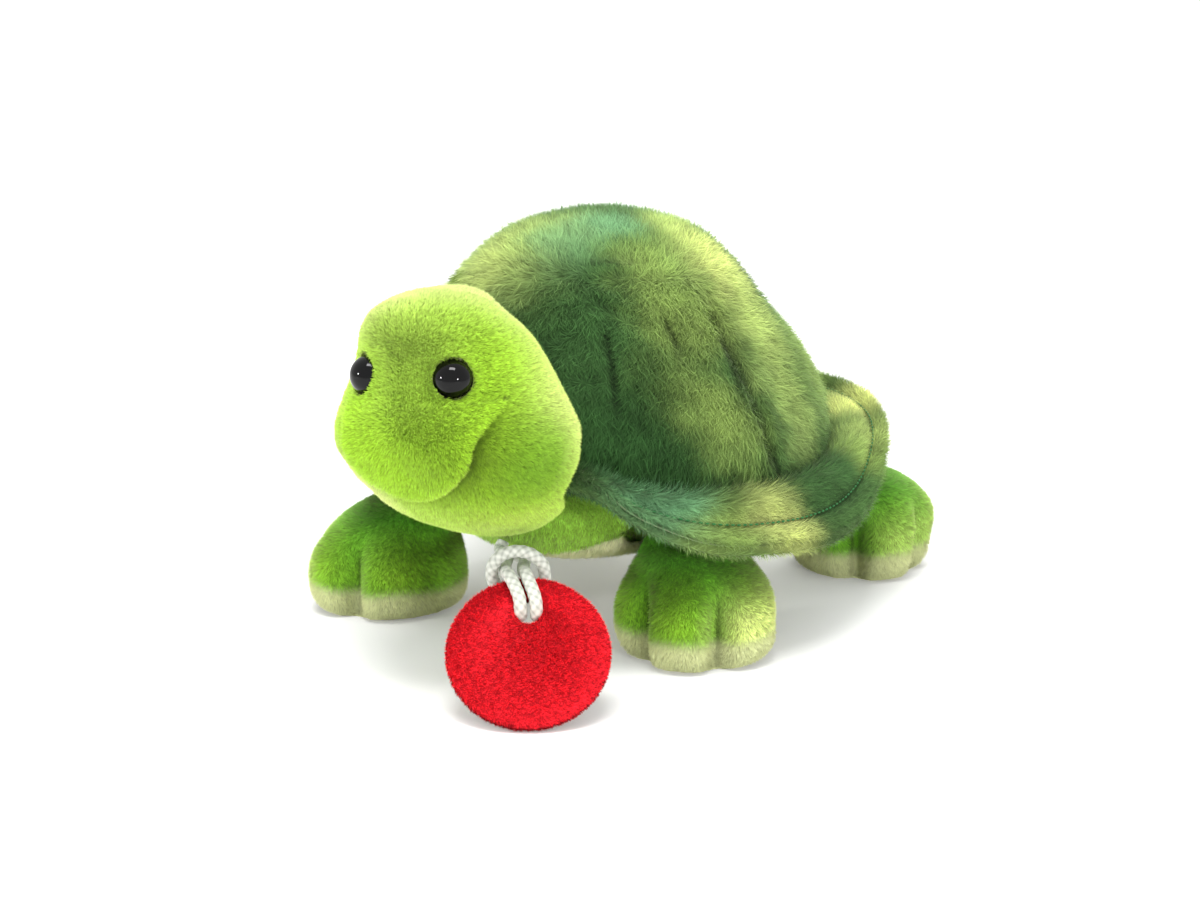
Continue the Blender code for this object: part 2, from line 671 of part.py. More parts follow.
def smooth_path(points, count):
    # Even points on a smooth curve through the route's own points
    fine = []
    ends = [points[0] * 2 - points[1]] + points + [points[-1] * 2 - points[-2]]
    for index in range(1, len(ends) - 2):
        a, b, c, d = ends[index - 1:index + 3]
        for step in range(CORD_CURVE_STEPS):
            share = step / CORD_CURVE_STEPS
            fine.append((b * 2 + (c - a) * share + (a * 2 - b * 5 + c * 4 - d) * share ** 2
                         + (b * 3 - a - c * 3 + d) * share ** 3) / 2)
    fine.append(points[-1])
    runs = [0.0]
    for before, after in zip(fine, fine[1:]):
        runs.append(runs[-1] + (after - before).length)
    path = []
    index = 0
    for step in range(count):
        goal = runs[-1] * step / (count - 1)
        while index < len(fine) - 2 and runs[index + 1] < goal:
            index += 1
        part = (goal - runs[index]) / (runs[index + 1] - runs[index])
        path.append(fine[index].lerp(fine[index + 1], min(max(part, 0.0), 1.0)))
    return path, runs[-1]


def cord_path():
    return smooth_path(cord_half(-1) + cord_half(1)[-2::-1], CORD_POINTS)


def least_gap(path, radius):
    # Least surface gap between stretches of the cord that aren't neighbours
    reach = int(4 * radius / (path[1] - path[0]).length) + 2
    return min((first - second).length
               for index, first in enumerate(path) for second in path[index + reach:]) - 2 * radius


def build_tag(materials):
    across, up, face = tag_axes()
    centre = tag_centre()
    leave = chest_point(CORD_EXIT_X, CORD_EXIT_Y)[0]
    pivot = add_pivot("tag_swing", leave)
    turn = Matrix((across, up, face)).transposed().to_euler()
    layers = (("tag_front", 0.0), ("tag_back", TAG_LAYER + SEAM_GAP))
    for name, depth in layers:
        plate = ring_plate(name, TAG_RADIUS, TAG_HOLE_RADIUS, (0, TAG_HOLE_OFFSET),
                           -depth - TAG_LAYER, -depth, TAG_COLUMNS)
        add_object(name, plate, materials["red"], pivot, centre - leave, turn)
    path, length = cord_path()
    curve = bpy.data.curves.new("tag_cord", "CURVE")
    curve.dimensions = "3D"
    curve.bevel_depth = CORD_RADIUS
    curve.bevel_resolution = 2
    curve.use_fill_caps = True
    spline = curve.splines.new("POLY")
    spline.points.add(len(path) - 1)
    for point, place in zip(spline.points, path):
        point.co = (*(place - leave), 1.0)
    add_object("tag_cord", curve, materials["cord"], pivot)
    print("cord length", round(length, 4), "least gap", round(least_gap(path, CORD_RADIUS), 5))


def build_shell(materials):
    shell = add_object("shell_dome", shell_mesh("shell_dome"), materials["fur"])
    add_object("shell_brim", brim_mesh("shell_brim", 0.0, BRIM_TOP_THICKNESS), materials["fur"])
    add_object("brim_lining", brim_mesh("brim_lining", BRIM_TOP_THICKNESS + SEAM_GAP, BRIM_LINING_THICKNESS),
               materials["lining"])
    return shell


def build_body(materials, shell):
    place = (0, SHELL_CENTRE_Y, TORSO_CENTRE_HEIGHT)
    torso = add_object("torso", torso_mesh("torso"), materials["green"], None, place)
    boolean(torso, belly_block("belly_room", SEAM_GAP, BELLY_SKIN + SEAM_GAP), "DIFFERENCE")
    belly = add_object("belly_panel", torso_mesh("belly_panel"), materials["pale"], None, place)
    boolean(belly, belly_block("belly_block", 0.0, BELLY_SKIN), "INTERSECT")
    over = mark_cutter(add_object("shell_room", shell_mesh("shell_room", SEAM_GAP)))
    boolean(torso, over, "DIFFERENCE")
    base = (0, NECK_BASE_Y, NECK_BASE_HEIGHT)
    top = (0, NECK_HEAD_Y, NECK_HEAD_HEIGHT)
    neck_pivot = add_pivot("neck_turn", base)
    neck = add_object("neck", ball_mesh("neck", NECK_BASE_RADIUS), materials["green"], neck_pivot)
    upper = mark_cutter(add_object("neck_upper", ball_mesh("neck_upper", NECK_HEAD_RADIUS), None, None, top))
    boolean(neck, upper, "UNION")
    seat = mark_cutter(add_object("neck_seat", ball_mesh("neck_seat", NECK_BASE_RADIUS + SEAM_GAP),
                                  None, None, base))
    throat = mark_cutter(add_object("neck_throat", ball_mesh(
        "neck_throat", NECK_HEAD_RADIUS + NECK_SWING_GAP), None, None, top))
    for part in (torso, shell, belly):
        boolean(part, seat, "DIFFERENCE")
        boolean(part, throat, "DIFFERENCE")
    return torso, belly, neck_pivot


def build_head(materials, neck_pivot):
    base = Vector((0, NECK_BASE_Y, NECK_BASE_HEIGHT))
    top = Vector((0, NECK_HEAD_Y, NECK_HEAD_HEIGHT))
    pivot = add_pivot("head_nod", top - base, neck_pivot)
    frame = add_pivot("head_frame", Vector((HEAD_CENTRE_X, HEAD_CENTRE_Y, HEAD_BOTTOM_HEIGHT)) - top,
                      pivot, (0, HEAD_ROLL, 0))
    head = add_object("head", head_mesh("head"), materials["lime"], frame)
    socket = mark_cutter(add_object("head_socket", ball_mesh("head_socket", NECK_HEAD_RADIUS + SEAM_GAP),
                                    None, None, top))
    body = mark_cutter(add_object("head_body_clear", torso_mesh("head_body_clear", SWING_GAP), None, None,
                                  (0, SHELL_CENTRE_Y, TORSO_CENTRE_HEIGHT)))
    shell = mark_cutter(add_object("head_shell_clear", shell_mesh("head_shell_clear", NOD_GAP)))
    brim = mark_cutter(add_object("head_brim_clear", brim_mesh(
        "head_brim_clear", -SWING_GAP,
        BRIM_TOP_THICKNESS + BRIM_LINING_THICKNESS + 2 * SWING_GAP, SWING_GAP)))
    for cutter in (body, shell, brim, socket):
        boolean(head, cutter, "DIFFERENCE")
    for name, turn in EYE_TURNS.items():
        point, normal = head_surface(EYE_HEIGHT_SHARE, turn - pi / 2)
        seat = add_pivot("eye_seat_" + name, point, frame)
        seat.rotation_euler = normal.to_track_quat("Z", "Y").to_euler()
        add_object("eye_" + name, turned_mesh("eye_" + name, eye_outline(), EYE_COLUMNS),
                   materials["black"], seat)
        add_object("eye_washer_" + name, washer_mesh("eye_washer_" + name), materials["white"], seat)
        hole = mark_cutter(add_object("eye_hole_" + name, turned_mesh(
            "eye_hole_" + name, eye_hole_outline(), EYE_COLUMNS), None, seat))
        pocket = mark_cutter(add_object("washer_room_" + name, washer_mesh(
            "washer_room_" + name, SEAM_GAP, False), None, seat))
        boolean(head, hole, "DIFFERENCE")
        boolean(head, pocket, "DIFFERENCE")


def build_all():
    clear_scene()
    add_ground_point()
    materials = {
        "lime": make_material("lime_plush", LIME, 0.9),
        "green": make_material("green_plush", GREEN, 0.9),
        "pale": make_material("pale_plush", PALE, 0.9),
        "fur": make_material("shell_fur", FUR, 0.95),
        "lining": make_material("brim_lining", LINING, 0.9),
        "black": make_material("eye_black", BLACK, 0.05),
        "white": make_material("washer_white", WASHER_WHITE, 0.4),
        "red": make_material("tag_red", RED, 0.9),
        "cord": make_material("cord_white", CORD_WHITE, 0.7),
    }
    shell = build_shell(materials)
    torso, belly, neck_pivot = build_body(materials, shell)
    build_head(materials, neck_pivot)
    for leg in LEG_PLACE_SHARES:
        build_leg(*leg, materials["green"], materials["pale"], [torso, belly])
    build_tag(materials)


build_all()
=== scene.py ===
from math import asin, cos, exp, pi, radians, sin, sqrt
import bmesh
import bpy
import numpy as np
from mathutils import Matrix, Vector, noise
from mathutils.kdtree import KDTree


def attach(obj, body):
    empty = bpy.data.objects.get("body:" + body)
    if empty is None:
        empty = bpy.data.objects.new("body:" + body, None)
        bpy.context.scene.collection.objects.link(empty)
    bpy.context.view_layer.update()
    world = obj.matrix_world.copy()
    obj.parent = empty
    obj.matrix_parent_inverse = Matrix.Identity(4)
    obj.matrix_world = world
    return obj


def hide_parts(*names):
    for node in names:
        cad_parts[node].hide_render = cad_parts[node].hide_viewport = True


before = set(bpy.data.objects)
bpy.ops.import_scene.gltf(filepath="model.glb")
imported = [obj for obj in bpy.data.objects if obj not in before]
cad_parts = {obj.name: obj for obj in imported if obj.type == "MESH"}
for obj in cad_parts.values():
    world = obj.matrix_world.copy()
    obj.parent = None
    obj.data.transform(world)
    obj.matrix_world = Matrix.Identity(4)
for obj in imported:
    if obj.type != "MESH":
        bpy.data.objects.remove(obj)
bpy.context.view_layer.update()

# A stuffed turtle with a long-piled shell. Metres, +Z up, the face towards -Y.
# Every skin lies a little inside the solid it stands for, and the pile fills
# the difference, so that the fur ends where the solid does.

toGround = Vector((-0.0012, 0.0040, 0))  # puts the middle of the turtle over the origin
seamGap = 0.0003


# helpers

def placed(name, data):
    # a new object in the scene
    thing = bpy.data.objects.new(name, data)
    bpy.context.collection.objects.link(thing)
    return thing


def addStep(piece, kind, **settings):
    # one modifier with its settings
    step = piece.modifiers.new(kind.lower(), kind)
    for key, value in settings.items():
        setattr(step, key, value)
    return step


def roundTurns(count):
    return [2 * pi * index / count for index in range(count)]


def bell(distance, reach, power=2):
    # 1 at no distance, falling off round the reach
    return np.exp(-(distance / reach) ** power)


def ramp(values, start, span):
    # from 0 at the start to 1 a span further on
    return np.clip((values - start) / span, 0, 1)


def column(values):
    return np.asarray(values)[:, None]


def awayFrom(points, place):
    return np.linalg.norm(points - np.array(place), axis=1)


# node graphs

class Graph:  # adds nodes to one tree, settings first, then values or links
    def __init__(self, tree):
        self.tree = tree

    def add(self, kind, settings=None, sockets=None, out=0):
        node = self.tree.nodes.new(kind)
        for name, value in (settings or {}).items():
            setattr(node, name, value)
        for key, value in (sockets or {}).items():
            self.fill(self.pick(node.inputs, key), value)
        return Field(self, self.pick(node.outputs, out))

    def pick(self, sockets, key):
        if isinstance(key, int):
            return sockets[key]
        return next(s for s in sockets if s.name == key and s.enabled)

    def fill(self, socket, value):
        if isinstance(value, Field):
            self.tree.links.new(value.socket, socket)
        else:
            socket.default_value = value

    def vectorMath(self, operation, *values):
        keys = (0, "Scale") if operation == "SCALE" else (0, 1)
        return self.add("ShaderNodeVectorMath", {"operation": operation}, dict(zip(keys, values)))

    def mixColour(self, share, first, second):
        return self.add("ShaderNodeMix", {"data_type": "RGBA"}, {0: share, 6: (*first, 1.0), 7: (*second, 1.0)}, 2)

    def attribute(self, name, out):
        return self.add("ShaderNodeAttribute", {"attribute_name": name}, None, out)

    def grain(self, scale, detail=2.0):
        # fine noise in the object's own space
        place = self.add("ShaderNodeTexCoord", None, None, "Object")
        return self.add("ShaderNodeTexNoise", None, {"Vector": place, "Scale": scale, "Detail": detail}, "Fac")


class Field:  # a socket that can be used in sums
    def __init__(self, graph, socket):
        self.graph = graph
        self.socket = socket

    def also(self, name):
        # another output of the same node
        return Field(self.graph, self.socket.node.outputs[name])

    def maths(self, operation, first, second):
        return self.graph.add("ShaderNodeMath", {"operation": operation}, {0: first, 1: second})

    def __add__(self, other):
        return self.maths("ADD", self, other)

    def __radd__(self, other):
        return self.maths("ADD", other, self)

    def __sub__(self, other):
        return self.maths("SUBTRACT", self, other)

    def __rsub__(self, other):
        return self.maths("SUBTRACT", other, self)

    def __mul__(self, other):
        return self.maths("MULTIPLY", self, other)

    def __rmul__(self, other):
        return self.maths("MULTIPLY", other, self)

    def __truediv__(self, other):
        return self.maths("DIVIDE", self, other)

    def __rtruediv__(self, other):
        return self.maths("DIVIDE", other, self)


# meshes

def pieceFrom(name, points, faces, material=None):
    mesh = bpy.data.meshes.new(name)
    mesh.from_pydata([tuple(p) for p in points], [], faces)
    mesh.shade_smooth()
    if material:
        mesh.materials.append(material)
    return placed(name, mesh)


def wallFaces(loops, count, closed=False):
    # faces between neighbouring loops of points
    faces = []
    for loop in range(loops if closed else loops - 1):
        after = (loop + 1) % loops
        for step in range(count):
            following = (step + 1) % count
            faces.append((loop * count + step, loop * count + following,
                          after * count + following, after * count + step))
    return faces


def stackedPiece(name, rings, low, high, material=None):
    # closed skin over rings, lowest first, each counterclockwise from above
    count = len(rings[0])
    last = (len(rings) - 1) * count
    faces = wallFaces(len(rings), count)
    for index in range(count):
        after = (index + 1) % count
        faces += [(after, index, last + count), (last + index, last + after, last + count + 1)]
    return pieceFrom(name, [p for ring in rings for p in ring] + [low, high], faces, material)


def bandPiece(name, loops, material=None):
    # closed ring of closed loops
    return pieceFrom(name, [p for loop in loops for p in loop], wallFaces(len(loops), len(loops[0]), True), material)


def ovalPiece(name, centre, size, columns=36, levels=18):
    rings = [[centre + Vector((size[0] * cos(t) * cos(lift), size[1] * sin(t) * cos(lift), size[2] * sin(lift)))
              for t in roundTurns(columns)]
             for lift in (-pi / 2 + pi * level / levels for level in range(1, levels))]
    return stackedPiece(name, rings, centre - Vector((0, 0, size[2])), centre + Vector((0, 0, size[2])))


def ballPiece(name, centre, radius, columns=36, levels=18):
    rings = [[Vector(centre) + radius * Vector((cos(t) * cos(lift), sin(t) * cos(lift), sin(lift)))
              for t in roundTurns(columns)]
             for lift in (-pi / 2 + pi * level / levels for level in range(1, levels))]
    return stackedPiece(name, rings, Vector(centre) - Vector((0, 0, radius)), Vector(centre) + Vector((0, 0, radius)))


def settle(piece):
    # turns what the modifiers give into a plain mesh
    graph = bpy.context.evaluated_depsgraph_get()
    mesh = bpy.data.meshes.new_from_object(piece.evaluated_get(graph))
    piece.modifiers.clear()
    old = piece.data
    piece.data = mesh
    bpy.data.meshes.remove(old)
    mesh.shade_smooth()
    return piece


def cutRounded(piece, cutters, voxel, smoothing, unions=()):
    # cuts a stuffed form by its neighbours and rounds it off as cloth would
    for others, operation in ((unions, "UNION"), (cutters, "DIFFERENCE")):
        for other in others:
            addStep(piece, "BOOLEAN", operation=operation, object=other)
    addStep(piece, "REMESH", mode="VOXEL", voxel_size=voxel)
    addStep(piece, "SMOOTH", factor=0.5, iterations=smoothing)
    settle(piece)
    for other in (*cutters, *unions):
        bpy.data.objects.remove(other)
    return piece


def relax(piece, choose, rounds):
    # rounds off more where the cloth is turned in
    group = piece.vertex_groups.new(name="rounded")
    group.add([int(index) for index in np.flatnonzero(choose(readPoints(piece.data)))], 1.0, "REPLACE")
    addStep(piece, "SMOOTH", factor=0.5, iterations=rounds, vertex_group="rounded")
    settle(piece)


stuffing = {
    "voxel": 0.0020, "frames": 20, "leastHold": 0.03, "cap": 0.0011, "neighbours": 5, "softening": 0.0005,
    "cloth": {
        "quality": 6, "mass": 0.001, "tension_stiffness": 1.0, "compression_stiffness": 1.0, "shear_stiffness": 0.3,
        "bending_stiffness": 0.1, "use_pressure": True, "uniform_pressure_force": 6.0, "vertex_group_mass": "sewn"}}


def plump(piece, hold, share=1.0):
    # blows the stuffed cloth up between its seams on a coarse copy, then moves the fine skin the same way
    coarse = placed(piece.name + "_coarse", piece.data.copy())
    addStep(coarse, "REMESH", mode="VOXEL", voxel_size=stuffing["voxel"])
    settle(coarse)
    start = readPoints(coarse.data).copy()
    sewn = coarse.vertex_groups.new(name="sewn")
    for index, weight in enumerate(hold(start)):
        if weight > stuffing["leastHold"]:
            sewn.add([index], float(min(weight, 1.0)), "REPLACE")
    cloth = addStep(coarse, "CLOTH")
    for key, value in stuffing["cloth"].items():
        setattr(cloth.settings, key, value)
    cloth.settings.effector_weights.gravity = 0
    cloth.collision_settings.use_collision = False
    for number in range(1, stuffing["frames"] + 1):
        bpy.context.scene.frame_set(number)
    settle(coarse)
    moves = readPoints(coarse.data) - start
    length = np.linalg.norm(moves, axis=1)
    moves *= column(np.minimum(length, stuffing["cap"] * share) / np.maximum(length, 1e-9))
    near = KDTree(len(start))
    for index, point in enumerate(start):
        near.insert(point, index)
    near.balance()
    points = readPoints(piece.data).copy()
    for index, point in enumerate(points):
        found = near.find_n(point, stuffing["neighbours"])
        weights = np.array([1 / (distance + stuffing["softening"]) for spot, number, distance in found])
        picked = moves[[number for spot, number, distance in found]]
        points[index] += (column(weights) * picked).sum(0) / weights.sum()
    writePoints(piece.data, points)
    bpy.data.objects.remove(coarse)
    bpy.context.scene.frame_set(1)
    print("stuffed", piece.name, round(1000 * float(length.max()), 2), "mm at most")


def readRows(items, what):
    values = np.empty(len(items) * 3)
    items.foreach_get(what, values)
    return values.reshape(-1, 3)


def readPoints(mesh, normals=False):
    points = readRows(mesh.vertices, "co")
    return (points, readRows(mesh.vertices, "normal")) if normals else points


def writePoints(mesh, points):
    mesh.vertices.foreach_set("co", points.ravel())
    mesh.update()


def setAttribute(mesh, name, kind, values, domain="POINT"):
    item = mesh.attributes.new(name, kind, domain)
    field = {"FLOAT": "value", "FLOAT_VECTOR": "vector", "FLOAT_COLOR": "color"}[kind]
    item.data.foreach_set(field, np.ascontiguousarray(values, dtype=np.float32).ravel())


def cloudNoise(points, size, seed=0):
    # smooth noise from -1 to 1, sampled on every point
    shift = Vector((seed * 3.7, seed * 1.9, seed * 5.3))
    return np.array([noise.noise(Vector(p) / size + shift) for p in points])


def nearRoute(points, route, values):
    # distance of each point from a route, and the route's value at the nearest place
    best = np.full(len(points), 1.0)
    found = np.zeros(len(points))
    for index in range(len(route) - 1):
        start, span = route[index], route[index + 1] - route[index]
        share = np.clip(((points - start) @ span) / (span @ span), 0, 1)
        distance = np.linalg.norm(points - (start + column(share) * span), axis=1)
        closer = distance < best
        best[closer] = distance[closer]
        found[closer] = (values[index] + share * (values[index + 1] - values[index]))[closer]
    return best, found


def creaseField(points, lines):
    # how deep the sewn lines pull each point in, and how near it is to one, narrowly and widely
    depth, near, wide = (np.zeros(len(points)) for kind in range(3))
    for line in lines:
        route = np.array(line["points"]) / 1000
        runs = np.concatenate([[0], np.cumsum(np.linalg.norm(np.diff(route, axis=0), axis=1))])
        best, along = nearRoute(points, route, runs)
        along /= runs[-1]
        toEnd = along if line.get("openEnd") else np.minimum(along, 1 - along)
        fade = np.clip(toEnd / line.get("fade", 0.15), 0.15, 1)
        depth += line["depth"] * (bell(best, line["width"]) * fade)
        near = np.maximum(near, bell(best, line["width"] * 0.6) * fade)
        wide = np.maximum(wide, bell(best, line["width"] * 1.5) * fade)
    return depth, near, wide


def stationValue(table, share):
    # cubic through a table's rows, read at one share of its first column
    rows = len(table)
    index = 0
    while index < rows - 2 and table[index + 1][0] < share:
        index += 1
    first, second = table[index], table[index + 1]
    before, after = table[max(index - 1, 0)], table[min(index + 2, rows - 1)]
    span = second[0] - first[0]
    step = min(max((share - first[0]) / span, 0.0), 1.0)
    values = []
    for entry in range(1, len(first)):
        slopeA = (second[entry] - before[entry]) / (second[0] - before[0]) * span
        slopeB = (after[entry] - first[entry]) / (after[0] - first[0]) * span
        values.append(first[entry] * (2 * step ** 3 - 3 * step ** 2 + 1)
                      + slopeA * (step ** 3 - 2 * step ** 2 + step)
                      + second[entry] * (3 * step ** 2 - 2 * step ** 3) + slopeB * (step ** 3 - step ** 2))
    return values


# forms of the stuffed parts, the same as the solids

shell = {
    "halfWidth": 0.0500, "halfLength": 0.0580, "top": 0.0935, "seam": 0.0372, "centreY": 0.0062,
    "apexShift": -0.0045, "sideBand": 0.0022, "brimWidth": 0.0115, "brimDrop": 0.0120,
    "rightTrim": 0.93, "rightLift": 0.0060, "curl": 1.5, "topLayer": 0.0018, "lining": 0.0012,
    "profile": [(0.00, 1.000), (0.17, 0.990), (0.285, 0.945), (0.386, 0.885), (0.49, 0.810), (0.59, 0.730),
                (0.694, 0.655), (0.796, 0.565), (0.87, 0.475), (0.93, 0.370), (0.975, 0.230)],
    "brim": [(0.000, 0.980, 0.14, 0.90), (0.080, 0.880, 0.16, 0.86), (0.167, 0.600, 0.42, 0.66),
             (0.222, 0.360, 0.80, 0.10), (0.278, 0.200, 0.88, -0.32), (0.333, 0.140, 0.95, -0.58),
             (0.389, 0.070, 0.98, -0.72), (0.444, 0.010, 1.00, -0.80), (0.500, 0.000, 1.02, -0.80),
             (0.556, 0.000, 1.04, -0.62), (0.611, 0.000, 1.06, -0.28), (0.667, 0.000, 1.13, 0.12),
             (0.722, -0.020, 1.16, 0.38), (0.806, -0.050, 1.12, 0.50), (0.917, -0.080, 1.04, 0.46),
             (1.000, -0.090, 1.04, 0.44)]}


def sideShare(turn):
    # 0 at the front of the shell, 1 at its rear
    fromFront = (turn + pi / 2) % (2 * pi)
    return min(fromFront, 2 * pi - fromFront) / pi


def rightShare(turn):
    # how far a turn lies towards the right front, where the brim is narrow
    return max(0.0, -cos(turn) * (1 - sin(turn)) / 2)


def shellPoint(turn, heightShare, radiusShare, gap):
    low = shell["seam"] + stationValue(shell["brim"], sideShare(turn))[0] * shell["brimDrop"]
    return toGround + Vector((
        (shell["halfWidth"] + gap) * radiusShare * cos(turn),
        shell["centreY"] + shell["apexShift"] * heightShare + (shell["halfLength"] + gap) * radiusShare * sin(turn),
        low + (shell["top"] + gap - low) * heightShare))


def shellForm(name, gap=0.0, columns=120, levels=44):
    turns = roundTurns(columns)
    drop = Vector((0, 0, shell["sideBand"] + gap))
    rings = [[shellPoint(t, 0, 1, gap) - drop for t in turns]]
    for level in range(levels):
        share = shell["profile"][-1][0] * (level / (levels - 1)) ** 0.85
        radius = stationValue(shell["profile"], share)[0]
        rings.append([shellPoint(t, share, radius, gap) for t in turns])
    base = toGround + Vector((0, shell["centreY"], shell["seam"])) - drop
    return stackedPiece(name, rings, base, shellPoint(0, 1, 0, gap))


def brimPoint(turn, share, depth, extra=0.0):
    rise, width, edge = stationValue(shell["brim"], sideShare(turn))
    right = rightShare(turn)
    low = shell["seam"] + rise * shell["brimDrop"]
    high = shell["seam"] + edge * shell["brimDrop"] + shell["rightLift"] * right
    trim = 1 - shell["rightTrim"] * right
    reach = seamGap + width * shell["brimWidth"] * share * trim + extra * (2 * share - 1)
    return toGround + Vector(((shell["halfWidth"] + reach) * cos(turn),
                              shell["centreY"] + (shell["halfLength"] + reach) * sin(turn),
                              low + (high - low) * share ** shell["curl"] - depth))


def brimForm(name, topDepth, thickness, extra=0.0, columns=120, steps=8):
    shares = [i / steps for i in range(steps + 1)]
    return bandPiece(name, [[brimPoint(turn, s, topDepth, extra) for s in shares]
                            + [brimPoint(turn, s, topDepth + thickness, extra) for s in reversed(shares)]
                            for turn in roundTurns(columns)])


torso = {"size": (0.0360, 0.0500, 0.0190), "centreHeight": 0.0330}


def torsoForm(name, gap=0.0):
    centre = toGround + Vector((0, shell["centreY"], torso["centreHeight"]))
    return ovalPiece(name, centre, [half + gap for half in torso["size"]], 72, 36)


head = {
    "height": 0.0580, "halfWidth": 0.0270, "halfLength": 0.0240, "bottom": 0.0292, "centreX": 0.0032,
    "centreY": -0.0600, "roll": radians(-4), "neck": (0, -0.0440, 0.0385), "neckRadius": 0.0090,
    "base": (0, -0.0285, 0.0340), "baseRadius": 0.0105, "swing": 0.0030, "nod": 0.0038, "lift": 0.0014,
    "sections": [(0.000, -0.50, 0.62, 0.10), (0.022, -0.30, 0.80, 0.28), (0.055, -0.05, 0.95, 0.46),
                 (0.100, 0.18, 1.02, 0.62), (0.160, 0.42, 1.04, 0.76), (0.225, 0.61, 1.05, 0.85),
                 (0.300, 0.80, 1.05, 0.92), (0.380, 0.94, 1.04, 0.98), (0.450, 1.01, 1.00, 1.00),
                 (0.520, 1.02, 0.93, 0.96), (0.600, 0.98, 0.88, 0.875), (0.680, 0.93, 0.82, 0.795),
                 (0.752, 0.88, 0.72, 0.735), (0.810, 0.88, 0.62, 0.69), (0.865, 0.89, 0.50, 0.63),
                 (0.915, 0.84, 0.40, 0.54), (0.960, 0.73, 0.32, 0.43), (0.990, 0.52, 0.20, 0.27)]}
headPlace = Matrix.Translation(toGround + Vector((head["centreX"], head["centreY"], head["bottom"]))) \
    @ Matrix.Rotation(head["roll"], 4, "Y")


def headPoint(heightShare, turn):
    front, back, side = stationValue(head["sections"], heightShare)
    reachFront, reachBack = front * head["halfLength"], back * head["halfLength"]
    return headPlace @ Vector((side * head["halfWidth"] * cos(turn),
                               (reachBack - reachFront) / 2 + (reachBack + reachFront) / 2 * sin(turn),
                               heightShare * head["height"]))


def headForm(name, columns=120, levels=90):
    top = head["sections"][-1][0]
    rings = [[headPoint(top * (1 - cos(pi * level / levels)) / 2, turn) for turn in roundTurns(columns)]
             for level in range(levels + 1)]
    low, high = (sum(ring, Vector()) / columns for ring in (rings[0], rings[-1]))
    high += headPlace.to_3x3() @ Vector((0, 0, 0.01 * head["height"]))
    return stackedPiece(name, rings, low, high)


legs = {
    "front": {"halfLength": 0.0185, "halfWidth": 0.0172, "height": 0.0300, "hip": (0.0305, -0.0200, 0.0265),
              "hipRadius": 0.0088, "sections": [
                  (0.00, 0.86, 0.84, 0.00, 0.50), (0.06, 0.955, 0.95, 0.00, 0.90), (0.15, 1.00, 1.00, 0.00, 1.00),
                  (0.26, 1.00, 1.00, 0.00, 1.00), (0.38, 0.98, 0.99, 0.00, 0.90), (0.50, 0.92, 0.94, 0.02, 0.60),
                  (0.62, 0.82, 0.84, 0.10, 0.25), (0.75, 0.69, 0.72, 0.30, 0.00), (0.88, 0.53, 0.56, 0.62, 0.00),
                  (1.00, 0.28, 0.32, 0.95, 0.00)]},
    "rear": {"halfLength": 0.0175, "halfWidth": 0.0160, "height": 0.0290, "hip": (0.0280, 0.0380, 0.0250),
             "hipRadius": 0.0088, "sections": [
                 (0.00, 0.86, 0.84, 0.00, 0.50), (0.06, 0.955, 0.95, 0.00, 0.90), (0.15, 1.00, 1.00, 0.00, 1.00),
                 (0.26, 1.01, 1.00, 0.00, 1.00), (0.38, 1.02, 1.02, -0.01, 0.90), (0.50, 1.01, 1.03, -0.01, 0.60),
                 (0.62, 0.97, 1.02, 0.04, 0.25), (0.75, 0.90, 0.97, 0.17, 0.00),
                 (0.88, 0.74, 0.82, 0.44, 0.00), (1.00, 0.44, 0.50, 0.80, 0.00)]},
    "places": {"front_left": (1, "front", (0.0372, -0.0178), radians(12)),
               "front_right": (-1, "front", (-0.0420, -0.0225), radians(-30)),
               "rear_left": (1, "rear", (0.0400, 0.0595), radians(55)),
               "rear_right": (-1, "rear", (-0.0400, 0.0595), radians(-55))},
    "soleHeight": 0.0066, "toeRise": 0.0012, "creaseDepth": 0.0034, "creases": (-0.20, 0.19), "spread": 0.050,
    "toeBulge": 0.0017, "grooveDepth": 0.0024, "grooveSpread": 0.026, "toePitch": 0.39}


def toeAway(turn, place):
    away = (turn + pi / 2) / pi - place
    return away - 2 if away > 1 else away


def legPoint(kind, side, centre, heading, share, turn):
    form = legs[kind]
    length, width, drift, crease = stationValue(form["sections"], share)
    pull = 0.0
    for place in legs["creases"]:
        away = toeAway(turn, place) / legs["spread"]
        pull += legs["creaseDepth"] * crease * max(0.0, 1 - away * away / 4) ** 2
        pull += legs["grooveDepth"] * grooveShare(share) * exp(-(toeAway(turn, place) / legs["grooveSpread"]) ** 2)
    pull -= legs["toeBulge"] * toeShare(turn) * sin(pi * min(share / 0.72, 1.0))
    along = (form["halfLength"] * length - pull) * sin(turn)
    across = (form["halfWidth"] * width - pull) * cos(turn)
    hip = Vector((side * form["hip"][0], form["hip"][1]))
    base = Vector(centre).lerp(hip, drift)
    return toGround + Vector((base.x + across * cos(heading) - along * sin(heading),
                              base.y + across * sin(heading) + along * cos(heading), share * form["height"]))


def toeShare(turn):
    # 1 on the middle of each toe, 0 between toes and round the heel
    ahead = abs(toeAway(turn, 0.0))
    return (0.5 + 0.5 * cos(2 * pi * ahead / legs["toePitch"])) * min(max((0.62 - ahead) / 0.06, 0.0), 1.0)


def grooveShare(share):
    # the groove between two toes is deepest low on the paw and ends half way up
    return min(share / 0.06, 1.0) * min(max((0.66 - share) / 0.30, 0.0), 1.0)


def soleEdge(turn):
    # height of the pale sole's edge, higher in front of each toe
    return legs["soleHeight"] + legs["toeRise"] * toeShare(turn)


def legForm(name, placeName, columns=168, levels=48):
    side, kind, centre, heading = legs["places"][placeName]
    rings = [[legPoint(kind, side, centre, heading, level / levels, turn - pi) for turn in roundTurns(columns)]
             for level in range(levels + 1)]
    low, high = (sum(ring, Vector()) / columns for ring in (rings[0], rings[-1]))
    return stackedPiece(name, rings, low, high)


print("forms ready")


